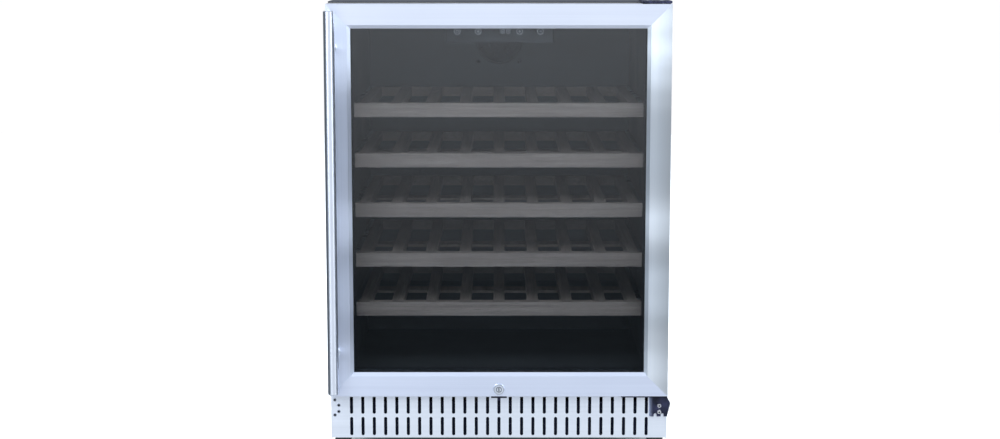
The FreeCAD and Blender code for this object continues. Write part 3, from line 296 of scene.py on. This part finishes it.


# The door's four sheets are one brushed steel in lit and shaded copies: painted light on the top rail and
# right stile, painted shade on the bottom rail and on the left stile beside the handle.
RAIL = brushed("steel_top_rail_painted_light", "X", (0.79, 0.83, 0.95), (0.73, 0.77, 0.89))
BOTTOM_RAIL_PAINTED_SHADE = brushed("steel_bottom_rail_painted_shade", "X", (0.67, 0.72, 0.86), (0.61, 0.66, 0.80))
LEFT_STILE_PAINTED_SHADE = brushed("steel_left_stile_painted_shade", "Z", (0.76, 0.82, 0.97), (0.69, 0.75, 0.89),
                     rough=(0.40, 0.48), wave=0.016)
RIGHT_STILE_PAINTED_LIGHT_AND_SHADE = brushed("steel_right_stile_painted_light_and_shade", "Z", (0.86, 0.92, 1.0), (0.79, 0.86, 0.96),
                      rough=(0.40, 0.48), wave=0.016, edge=(0.268, 0.2975, 0.70))
BAR = brushed("steel_bar", "ROUND", (0.76, 0.80, 0.90), (0.72, 0.76, 0.86), rough=(0.28, 0.32), grit=0.02)
KICK = brushed("steel_kick", "X", (0.76, 0.80, 0.88), (0.68, 0.72, 0.80), rough=(0.44, 0.52))
CASE = painted("case_black", (0.016, 0.018, 0.025), (0.013, 0.015, 0.021), rough=(0.44, 0.50),
               Specular_Tint=(0.75, 0.83, 1.0, 1), Specular_IOR_Level=0.3)
BASE = base_steel("base_steel")
GALVANISED = painted("galvanised", (0.55, 0.57, 0.60), (0.38, 0.40, 0.43),
                     rough=(0.35, 0.55), Metallic=0.9)
REAR = painted("rear_grey", (0.33, 0.34, 0.36), (0.29, 0.30, 0.32), rough=(0.42, 0.50), Metallic=0.7)
FOAM = painted("foam_cream", (0.70, 0.60, 0.38), (0.60, 0.50, 0.30),
               rough=(0.9, 1.0), grain=260.0, relief=0.0004)
LINER = painted("liner_black", (0.040, 0.041, 0.043), (0.030, 0.031, 0.033), rough=(0.34, 0.44))
COVER = painted("cover_grey", (0.105, 0.108, 0.112), (0.090, 0.093, 0.097), rough=(0.45, 0.55))
COIL = painted("coil_aluminium", (0.72, 0.74, 0.77), (0.58, 0.60, 0.64),
               rough=(0.3, 0.45), Metallic=1.0)
FAN = painted("fan_black", (0.012, 0.012, 0.013), (0.008, 0.008, 0.009), rough=(0.5, 0.6))
WIRE = painted("guard_black", (0.012, 0.013, 0.015), (0.008, 0.009, 0.010), rough=(0.3, 0.4))
BRIGHT = painted("bright_zinc", (0.80, 0.82, 0.85), (0.62, 0.64, 0.68),
                 rough=(0.18, 0.3), Metallic=1.0)
SCREW = fasteners("screw_zinc")
BRACKET = blackened("bracket_blue_black")
CHROME = painted("lock_chrome", (0.78, 0.83, 0.93), (0.70, 0.75, 0.85),
                 rough=(0.26, 0.36), Metallic=1.0)
FRAME = painted("frame_plastic", (0.018, 0.019, 0.022), (0.012, 0.013, 0.015), rough=(0.35, 0.5))
BUSH = painted("bush_nylon", (0.60, 0.58, 0.52), (0.48, 0.46, 0.41), rough=(0.4, 0.5))
RUBBER = painted("gasket_rubber", (0.020, 0.020, 0.022), (0.012, 0.012, 0.014),
                 rough=(0.55, 0.7), grain=1500.0)
OUTER_GLASS = smoked("smoked_pane", (0.74, 0.76, 0.79))
INNER_GLASS = smoked("clear_pane", (0.93, 0.95, 0.95))
SPACER = painted("spacer_aluminium", (0.30, 0.31, 0.33), (0.22, 0.23, 0.25),
                 rough=(0.3, 0.4), Metallic=1.0)
MESH = painted("filter_mesh", (0.004, 0.005, 0.010), (0.002, 0.003, 0.006),
               rough=(0.9, 1.0), grain=900.0, Specular_IOR_Level=0.02)
SLIDE = painted("slide_steel", (0.30, 0.31, 0.33), (0.20, 0.21, 0.23), rough=(0.25, 0.38), Metallic=1.0)
CONTROL = painted("control_plastic", (0.034, 0.035, 0.038), (0.024, 0.025, 0.028), rough=(0.32, 0.45))
DISPLAY = painted("display_acrylic", (0.006, 0.006, 0.008), (0.004, 0.004, 0.005), rough=(0.05, 0.12))
LENS = painted("lamp_lens", (0.55, 0.57, 0.60), (0.45, 0.47, 0.50),
               rough=(0.3, 0.45), grain=1200.0, relief=0.0001)
COMPRESSOR = painted("compressor_black", (0.016, 0.016, 0.018), (0.010, 0.010, 0.012), rough=(0.3, 0.45))
CONDENSER = painted("condenser_black", (0.030, 0.030, 0.032), (0.018, 0.018, 0.020), rough=(0.4, 0.55))
INLET = painted("inlet_black", (0.016, 0.016, 0.018), (0.010, 0.010, 0.011), rough=(0.4, 0.5))
BUTTON = painted("button_plastic", (0.050, 0.052, 0.056), (0.038, 0.040, 0.044), rough=(0.3, 0.4))
FOOT = painted("foot_plastic", (0.022, 0.022, 0.024), (0.014, 0.014, 0.016), rough=(0.45, 0.6))
WOOD = wood("rack_wood")
MARK = painted("mark_grey", (0.80, 0.78, 0.78), (0.70, 0.68, 0.68), rough=(0.5, 0.6))
# painted shade: dark metal for the lock's key guide, keyway and groove and for the screws' recesses
PAINTED_SHADE_METAL = painted("recess_painted_shade", (0.05, 0.055, 0.07), (0.03, 0.034, 0.045),
                      rough=(0.3, 0.4), Metallic=1.0)
# painted shade: a darker copy of the kick plate's steel for the rims of its spare holes
RIM_PAINTED_SHADE = painted("rim_steel_painted_shade", (0.42, 0.45, 0.52), (0.30, 0.33, 0.40), rough=(0.3, 0.4), Metallic=1.0)

FEET = ["foot_front_left", "foot_front_right", "foot_rear_left", "foot_rear_right"]
SHELVES = range(1, 6)
FINISHES = {
    RAIL: ["door_top_rail"],
    BOTTOM_RAIL_PAINTED_SHADE: ["door_bottom_rail"],
    LEFT_STILE_PAINTED_SHADE: ["door_left_stile"],
    RIGHT_STILE_PAINTED_LIGHT_AND_SHADE: ["door_right_stile"],
    BAR: ["handle_bar", "handle_posts"],
    KICK: ["kick_plate"],
    CASE: ["outer_case"],
    BASE: ["base_pan"],
    GALVANISED: ["bulkhead"],
    REAR: ["rear_panel"],
    FOAM: ["insulation_foam"],
    LINER: ["inner_liner"],
    COVER: ["evaporator_cover"],
    COIL: ["evaporator_coil"],
    FAN: ["evaporator_fan_frame", "evaporator_fan_rotor", "condenser_fan_frame", "condenser_fan_rotor"],
    WIRE: ["fan_guard"],
    SCREW: ["screws"],
    BRIGHT: ["hinge_pins"],
    BRACKET: ["lower_hinge_bracket", "upper_hinge_bracket", "lock_keeper"],
    CHROME: ["lock_housing", "lock_cylinder"],
    FRAME: ["door_inner_frame"],
    BUSH: ["hinge_bushes"],
    RUBBER: ["door_gasket", "compressor_grommets"],
    OUTER_GLASS: ["outer_glass"],
    INNER_GLASS: ["inner_glass"],
    SPACER: ["glass_spacer"],
    MESH: ["intake_filter"],
    SLIDE: ["slide_channels"] + [f"shelf_{n}_runners" for n in SHELVES],
    CONTROL: ["control_housing"],
    DISPLAY: ["display_window"],
    LENS: ["ceiling_lamp"],
    COMPRESSOR: ["compressor"],
    CONDENSER: ["condenser"],
    INLET: ["power_inlet"],
    BUTTON: ["button_power", "button_light", "button_up", "button_down"],
    FOOT: FEET,
    WOOD: [f"shelf_{n}_rack" for n in SHELVES],
}
finished = set()
for finish, names in FINISHES.items():
    for name in names:
        thing = nodes[name]
        if not thing.material_slots:
            thing.data.materials.append(None)
        for held in thing.material_slots:
            held.material = finish
        finished.add(name)
missing = sorted(set(nodes) - finished)
if missing:
    raise RuntimeError(f"no finish for {missing}")


# ---- pieces that the CAD solids leave out ----

def keep(name, mesh, finish, body, smooth=True):
    """Turns a bmesh in frame metres into a piece that rides on a body."""
    bmesh.ops.recalc_face_normals(mesh, faces=mesh.faces)
    data = bpy.data.meshes.new(name)
    mesh.to_mesh(data)
    mesh.free()
    data.materials.append(finish)
    made = bpy.data.objects.new(name, data)
    bpy.context.scene.collection.objects.link(made)
    if smooth:
        data.shade_smooth()
        data.set_sharp_from_angle(angle=math.radians(40))
    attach(made, body)
    return made


def middle(low, high):
    """The middle of a box, from its lowest and highest corners."""
    return [(low[n] + high[n]) / 2 for n in range(3)]


OUT, BACK, UP = (0, -1, 0), (0, 1, 0), (0, 0, 1)
ON_AXIS = 0.01   # the radius, in millimetres, at which a solid profile closes on its axis


def add_lathe(mesh, centre, axis, profile, steps=32):
    """A turned solid: a closed profile of (radius, height) in millimetres round an axis."""
    turn = Vector(UP).rotation_difference(Vector(axis)).to_matrix()
    rings = []
    for step in range(steps):
        angle = 2 * math.pi * step / steps
        rings.append([
            mesh.verts.new(Vector(centre) + turn @ Vector(
                (r * MM * math.cos(angle), r * MM * math.sin(angle), h * MM)))
            for r, h in profile
        ])
    count = len(profile)
    for step in range(steps):
        here, there = rings[step], rings[(step + 1) % steps]
        for n in range(count):
            mesh.faces.new((here[n], here[(n + 1) % count], there[(n + 1) % count], there[n]))


def add_box(mesh, low, high, edge=0.0):
    """A block between two corners in metres, with its four edges along Y cut by edge."""
    (x0, y0, z0), (x1, y1, z1) = low, high
    outline = [(x0, z0), (x1, z0), (x1, z1), (x0, z1)]
    if edge:
        outline = [
            (x0 + edge, z0), (x1 - edge, z0), (x1, z0 + edge), (x1, z1 - edge),
            (x1 - edge, z1), (x0 + edge, z1), (x0, z1 - edge), (x0, z0 + edge),
        ]
    front = [mesh.verts.new((x, y0, z)) for x, z in outline]
    back = [mesh.verts.new((x, y1, z)) for x, z in outline]
    mesh.faces.new(front)
    mesh.faces.new(back[::-1])
    for n in range(len(outline)):
        m = (n + 1) % len(outline)
        mesh.faces.new((front[n], back[n], back[m], front[m]))


def gasket():
    """The bellows seal: a foot in the frame, two folds each side and the flat magnet face."""
    low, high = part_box("door_gasket")
    deep = (high.y - low.y) / MM
    width = 14.0
    side = [
        (0.4, 0.0), (0.0, 0.08), (0.0, 0.17), (2.0, 0.27), (0.5, 0.42),
        (2.2, 0.56), (0.5, 0.70), (0.7, 0.90), (1.6, 1.0),
    ]
    profile = side + [(width - x, y) for x, y in reversed(side)]
    mesh = bmesh.new()
    corners = []
    for sx, sz in ((0, 0), (1, 0), (1, 1), (0, 1)):
        ring = []
        for inward, y in profile:
            x = (high.x - inward * MM) if sx else (low.x + inward * MM)
            z = (high.z - inward * MM) if sz else (low.z + inward * MM)
            ring.append(mesh.verts.new((x, low.y + y * deep * MM, z)))
        corners.append(ring)
    count = len(profile)
    for n in range(4):
        here, there = corners[n], corners[(n + 1) % 4]
        for m in range(count):
            mesh.faces.new((here[m], here[(m + 1) % count], there[(m + 1) % count], there[m]))
    made = keep("gasket_bellows", mesh, RUBBER, "door")
    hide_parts("door_gasket")


def grommets():
    """Rubber feet of the compressor, waisted and ribbed."""
    low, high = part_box("compressor_grommets")
    tall = (high.z - low.z) / MM
    bore, r = 2.2, 8.0
    waist, collar, crown = r * 0.72, r * 0.92, r * 0.8
    profile = [
        (bore, 0), (r, 0), (r, 0.22 * tall), (waist, 0.34 * tall), (waist, 0.56 * tall),
        (collar, 0.66 * tall), (collar, 0.86 * tall), (crown, tall), (bore, tall),
    ]
    mesh = bmesh.new()
    for x in (low.x + r * MM, high.x - r * MM):
        for y in (low.y + r * MM, high.y - r * MM):
            add_lathe(mesh, (x, y, low.z), UP, profile)
    made = keep("grommet_feet", mesh, RUBBER, "cabinet")
    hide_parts("compressor_grommets")


PRINT = 0.12   # thickness of a printed mark, in millimetres


def display():
    """Two seven-segment digits on the display window's face."""
    low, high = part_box("display_window")
    middle_x, _, z = middle(low, high)
    face = low.y
    front = face - PRINT * MM
    wide, tall, bar, space, apart = 7.0 * MM, 8.4 * MM, 1.1 * MM, 0.25 * MM, 5.0 * MM
    cut = bar * 0.4
    mesh = bmesh.new()
    for side in (-1, 1):
        x = middle_x + side * apart
        half_wide = wide / 2 - bar - space
        for level in (-1, 0, 1):
            zc = z + level * (tall - bar) / 2
            add_box(mesh, (x - half_wide, front, zc - bar / 2), (x + half_wide, face, zc + bar / 2), cut)
        for edge in (-1, 1):
            for half in (-1, 1):
                xc = x + edge * (wide - bar) / 2
                z0, z1 = sorted((z + half * space, z + half * (tall / 2 - space)))
                add_box(mesh, (xc - bar / 2, front, z0 + space), (xc + bar / 2, face, z1 - space), cut)
    keep("display_digits", mesh, MARK, "cabinet", smooth=False)


def button_marks():
    """A printed ring and sign on each button: a power sign, a sun, a plus and a minus."""
    for name in ("power", "light", "up", "down"):
        low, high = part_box("button_" + name)
        x, _, z = middle(low, high)
        y = low.y
        thin, reach, face = 0.45 * MM, 2.2 * MM, y - PRINT * MM
        mesh = bmesh.new()
        add_lathe(mesh, (x, y, z), OUT, [(4.7, 0.0), (5.7, 0.0), (5.6, PRINT), (4.8, PRINT)], 48)
        if name in ("up", "down"):
            add_box(mesh, (x - reach, face, z - thin), (x + reach, y, z + thin))
        if name == "up":
            add_box(mesh, (x - thin, face, z + thin), (x + thin, y, z + reach))
            add_box(mesh, (x - thin, face, z - reach), (x + thin, y, z - thin))
        if name == "power":
            add_lathe(mesh, (x, y, z), OUT, [(1.9, 0.0), (2.7, 0.0), (2.7, PRINT), (1.9, PRINT)], 24)
            add_box(mesh, (x - thin, face, z + 1.2 * MM), (x + thin, y, z + 3.4 * MM))
        if name == "light":
            add_lathe(mesh, (x, y, z), OUT, [(ON_AXIS, 0.0), (1.3, 0.0), (1.3, PRINT), (ON_AXIS, PRINT)], 20)
            rays, radius = 8, 2.5 * MM
            for n in range(rays):
                angle = 2 * math.pi * n / rays
                rx, rz = x + radius * math.cos(angle), z + radius * math.sin(angle)
                add_box(mesh, (rx - thin, face, rz - thin), (rx + thin, y, rz + thin))
        keep("button_" + name + "_mark", mesh, MARK, "button_" + name, smooth=False)


def lock_ring():
    """The raised key guide round the keyway and a block inside the keyway, both dark as painted shade, and a
    thin dark ring of painted shade for the groove round the housing.
    """
    face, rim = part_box("lock_cylinder")[0].y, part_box("lock_housing")[0].y
    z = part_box("lock_housing")[0].z + (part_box("lock_housing")[1].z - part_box("lock_housing")[0].z) / 2
    half_wide, half_tall = 0.75 * MM, 3.4 * MM
    mesh = bmesh.new()
    add_lathe(mesh, (0, face, z), OUT, [(3.9, -0.2), (5.1, -0.2), (4.9, 0.25), (4.1, 0.25)], 40)
    # the keyway's inside as a dark block of painted shade
    add_box(mesh, (-half_wide, face + 0.3 * MM, z - half_tall), (half_wide, face + 3.6 * MM, z + half_tall))
    keep("lock_key_guide_painted_shade", mesh, PAINTED_SHADE_METAL, "lock_cylinder")
    # the groove as a thin dark ring of painted shade, almost flush with the face
    groove = bmesh.new()
    add_lathe(groove, (0, rim, z), OUT, [(8.1, -0.1), (8.7, -0.1), (8.6, 0.06), (8.2, 0.06)], 48)
    keep("lock_groove_painted_shade", groove, PAINTED_SHADE_METAL, "door")


# where the lower bracket's two screws are, in millimetres; the kick plate's other end mirrors them
BRACKET_X, BRACKET_Z = 284, (94.6, 106.0)


def screw_recess_shade():
    """Dark discs of painted shade for the recesses in the bright screws of the two hinge brackets."""
    recess = [(ON_AXIS, 0.0), (1.7, 0.0), (1.6, 0.1), (ON_AXIS, 0.1)]
    face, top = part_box("screws")[0].y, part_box("screws")[1].z
    mesh = bmesh.new()
    for z in BRACKET_Z:
        add_lathe(mesh, (BRACKET_X * MM, face, z * MM), OUT, recess, 16)
    for x, y in ((260, -196), (284, -196), (272, -168)):
        add_lathe(mesh, (x * MM, y * MM, top), UP, recess, 16)
    keep("screw_recesses_painted_shade", mesh, PAINTED_SHADE_METAL, "cabinet")


def hole_rims():
    """Rolled rims of the kick plate's spare holes, in a darker copy of the steel as painted shade."""
    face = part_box("kick_plate")[0].y
    mesh = bmesh.new()
    rim = [(2.0, -0.4), (3.1, -0.1), (2.7, 0.7), (2.05, 0.8)]
    for x, z in [(-BRACKET_X, z) for z in BRACKET_Z] + [(-291, 88.35), (-291, 115.65)]:
        add_lathe(mesh, (x * MM, face, z * MM), OUT, rim, 24)
    keep("spare_hole_rims", mesh, RIM_PAINTED_SHADE, "cabinet")


def handle_collars():
    """Bright washers where the handle's posts meet the door."""
    low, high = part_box("handle_posts")
    x, post_radius = middle(low, high)[0], 7.5 * MM
    collar = [(7.4, 0.0), (9.6, 0.0), (9.3, 1.3), (8.6, 1.8), (7.4, 1.8)]
    mesh = bmesh.new()
    for z in (low.z + post_radius, high.z - post_radius):
        add_lathe(mesh, (x, high.y, z), OUT, collar, 48)
    keep("handle_collars", mesh, CHROME, "door")


def foot_ribs():
    """Grip ribs round each levelling foot."""
    ribs, radius, bottom = 20, 13.9 * MM, 18 * MM
    rib = [(ON_AXIS, 0), (0.9, 0.6), (0.9, 24), (ON_AXIS, 24.6)]
    for name in FEET:
        low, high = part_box(name)
        x, y, _ = middle(low, high)
        mesh = bmesh.new()
        for n in range(ribs):
            angle = 2 * math.pi * n / ribs
            add_lathe(mesh, (x + radius * math.cos(angle), y + radius * math.sin(angle), bottom), UP, rib, 8)
        keep(name + "_ribs", mesh, FOOT, name)


def rear_fixings():
    """The screws that hold the rear panel."""
    low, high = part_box("rear_panel")
    inset, columns, rows = 9 * MM, 5, 7
    head = [(ON_AXIS, 0.0), (3.6, 0.0), (3.4, 0.9), (2.2, 1.5), (ON_AXIS, 1.6)]
    xs = [low.x + inset + (high.x - low.x - 2 * inset) * n / (columns - 1) for n in range(columns)]
    zs = [low.z + inset + (high.z - low.z - 2 * inset) * n / (rows - 1) for n in range(rows)]
    mesh = bmesh.new()
    for x in xs:
        for z in (zs[0], zs[-1]):
            add_lathe(mesh, (x, high.y, z), BACK, head, 20)
    for z in zs[1:-1]:
        for x in (xs[0], xs[-1]):
            add_lathe(mesh, (x, high.y, z), BACK, head, 20)
    keep("rear_panel_screws", mesh, BRIGHT, "cabinet")


def inlet_pins():
    """Bright metal skin on the three blades inside the appliance inlet."""
    thick, tall, root, tip, skin = 1.8, 5.0, 290.5, 303.5, 0.06
    inlet_x, inlet_z = 225.0, 92.0
    half_x, half_z = thick / 2 + skin, tall / 2 + skin
    mesh = bmesh.new()
    for dx, dz in ((-6.0, -2.0), (6.0, -2.0), (0.0, 2.0)):
        x, z = inlet_x + dx, inlet_z + dz
        add_box(mesh, ((x - half_x) * MM, root * MM, (z - half_z) * MM),
                ((x + half_x) * MM, (tip + skin) * MM, (z + half_z) * MM))
    keep("inlet_pins", mesh, BRIGHT, "cabinet", smooth=False)


for build in (
    gasket, grommets, display, button_marks, lock_ring, screw_recess_shade,
    hole_rims, handle_collars, foot_ribs, rear_fixings, inlet_pins,
):
    build()


# ---- camera, floor and light ----

def look(location, tilt, lens, shift):
    """A camera that faces +Y and looks down by tilt degrees."""
    data = bpy.data.cameras.new("camera")
    data.lens = lens
    data.shift_y = shift
    made = bpy.data.objects.new("camera", data)
    bpy.context.scene.collection.objects.link(made)
    made.location = location
    made.rotation_euler = (math.radians(90 - tilt), 0, 0)
    bpy.context.scene.camera = made


DOOR_FRONT, DISTANCE = -0.2625, 2.9
look(location=(0.0019, DOOR_FRONT - DISTANCE, 0.916), tilt=7.59, lens=60.80, shift=-0.05)


def floor():
    """A plain pale floor that stays out of the mirror-like parts."""
    half = 5.0
    corners = [(-half, -half, 0), (half, -half, 0), (half, half, 0), (-half, half, 0)]
    data = bpy.data.meshes.new("floor")
    data.from_pydata(corners, [], [(0, 1, 2, 3)])
    made = bpy.data.objects.new("floor", data)
    bpy.context.scene.collection.objects.link(made)
    finish = Finish("floor_white", Roughness=0.8)
    clouds = finish.noise((1.5, 1.5, 1.5), detail=2.0)
    finish.colour(finish.ramp(clouds, [(0.3, (0.90, 0.90, 0.91)), (0.7, (0.93, 0.93, 0.93))]))
    data.materials.append(finish.material)
    made.visible_glossy = False


floor()


def softbox(name, location, aim, size, power, colour, mirrored=True):
    """A rectangular light aimed at a point, in metres and watts."""
    data = bpy.data.lights.new(name, "AREA")
    data.shape = "RECTANGLE"
    data.size, data.size_y = size
    data.energy = power
    data.color = colour
    made = bpy.data.objects.new(name, data)
    made.location = location
    made.rotation_euler = (Vector(aim) - Vector(location)).to_track_quat("-Z", "Y").to_euler()
    made.visible_camera = False
    made.visible_glossy = mirrored
    bpy.context.scene.collection.objects.link(made)


COOL = (0.90, 0.95, 1.0)
NEUTRAL = (1.0, 0.98, 0.97)
softbox("overhead", (0, -0.6, 4.2), (0, 0, 0), (5, 5), 420, COOL, mirrored=False)
softbox("front_left", (-2.6, -3.2, 2.6), (0, 0, 0.5), (2.4, 2.0), 110, COOL)
softbox("front_right", (3.4, -2.6, 1.9), (0, 0, 0.5), (2.0, 2.0), 55, COOL)
softbox("shelf_fill", (0, -0.80, 0.90), (0, -0.2, 0.66), (1.4, 0.2), 10, NEUTRAL, mirrored=False)


def sky():
    """Bright in front above the horizon, dark at a distance below it, pale again close by, and dim behind."""
    world = bpy.data.worlds.new("studio")
    bpy.context.scene.world = world
    world.use_nodes = True
    tree = world.node_tree

    def ramp(value, low, high, stops):
        """A colour by stops of (value, level, tint)."""
        span = tree.nodes.new("ShaderNodeMapRange")
        for socket, number in zip(("From Min", "From Max", "To Min", "To Max"), (low, high, 0, 1)):
            span.inputs[socket].default_value = number
        tree.links.new(value, span.inputs["Value"])
        made = tree.nodes.new("ShaderNodeValToRGB")
        for index, (place, level, tint) in enumerate(stops):
            position = (place - low) / (high - low)
            stop = made.color_ramp.elements[index] if index < 2 else made.color_ramp.elements.new(position)
            stop.position = position
            stop.color = (level * tint[0], level * tint[1], level * tint[2], 1)
        tree.links.new(span.outputs["Result"], made.inputs["Fac"])
        return made.outputs["Color"]

    def mix(kind, share, first, second):
        """Two colours mixed or multiplied, each of them and the share a value or a socket."""
        made = tree.nodes.new("ShaderNodeMix")
        made.data_type = "RGBA"
        made.blend_type = kind
        for socket, value in ((made.inputs[0], share), (made.inputs[6], first), (made.inputs[7], second)):
            if isinstance(value, (float, tuple)):
                socket.default_value = value
            else:
                tree.links.new(value, socket)
        return made.outputs[2]

    direction = tree.nodes.new("ShaderNodeTexCoord")
    parts = tree.nodes.new("ShaderNodeSeparateXYZ")
    tree.links.new(direction.outputs["Generated"], parts.inputs["Vector"])
    warm, plain, blue = (1.0, 0.99, 0.985), (0.96, 0.98, 1.0), (0.80, 0.92, 1.0)
    heights = ramp(parts.outputs["Z"], -0.5, 0.5, [
        (-0.50, 0.53, plain), (-0.36, 0.53, plain), (-0.30, 0.44, plain), (-0.268, 0.133, blue),
        (-0.245, 0.04, blue), (-0.20, 0.06, blue), (-0.174, 0.15, plain), (-0.122, 0.25, warm),
        (-0.07, 0.39, warm), (-0.03, 0.49, warm), (0.06, 0.57, plain), (0.3, 0.67, plain), (0.5, 0.85, plain),
    ])
    depths = ramp(parts.outputs["Y"], -1, 1, [
        (-1.0, 1.0, plain), (-0.36, 1.0, plain), (-0.22, 0.42, plain), (1.0, 0.36, plain),
    ])
    sides = ramp(parts.outputs["X"], -1, 1, [
        (-1.0, 0.42, blue), (-0.84, 0.42, blue), (-0.64, 1.0, plain),
        (0.80, 1.0, plain), (0.95, 0.42, blue), (1.0, 0.42, blue),
    ])
    surroundings = mix("MULTIPLY", 1.0, mix("MULTIPLY", 1.0, heights, depths), sides)
    backdrop, strength = (0.48, 0.48, 0.485, 1.0), 2.1
    path = tree.nodes.new("ShaderNodeLightPath")
    background = tree.nodes["Background"]
    background.inputs["Strength"].default_value = strength
    tree.links.new(
        mix("MIX", path.outputs["Is Camera Ray"], surroundings, backdrop), background.inputs["Color"])


sky()
bpy.context.scene.view_settings.view_transform = "Standard"
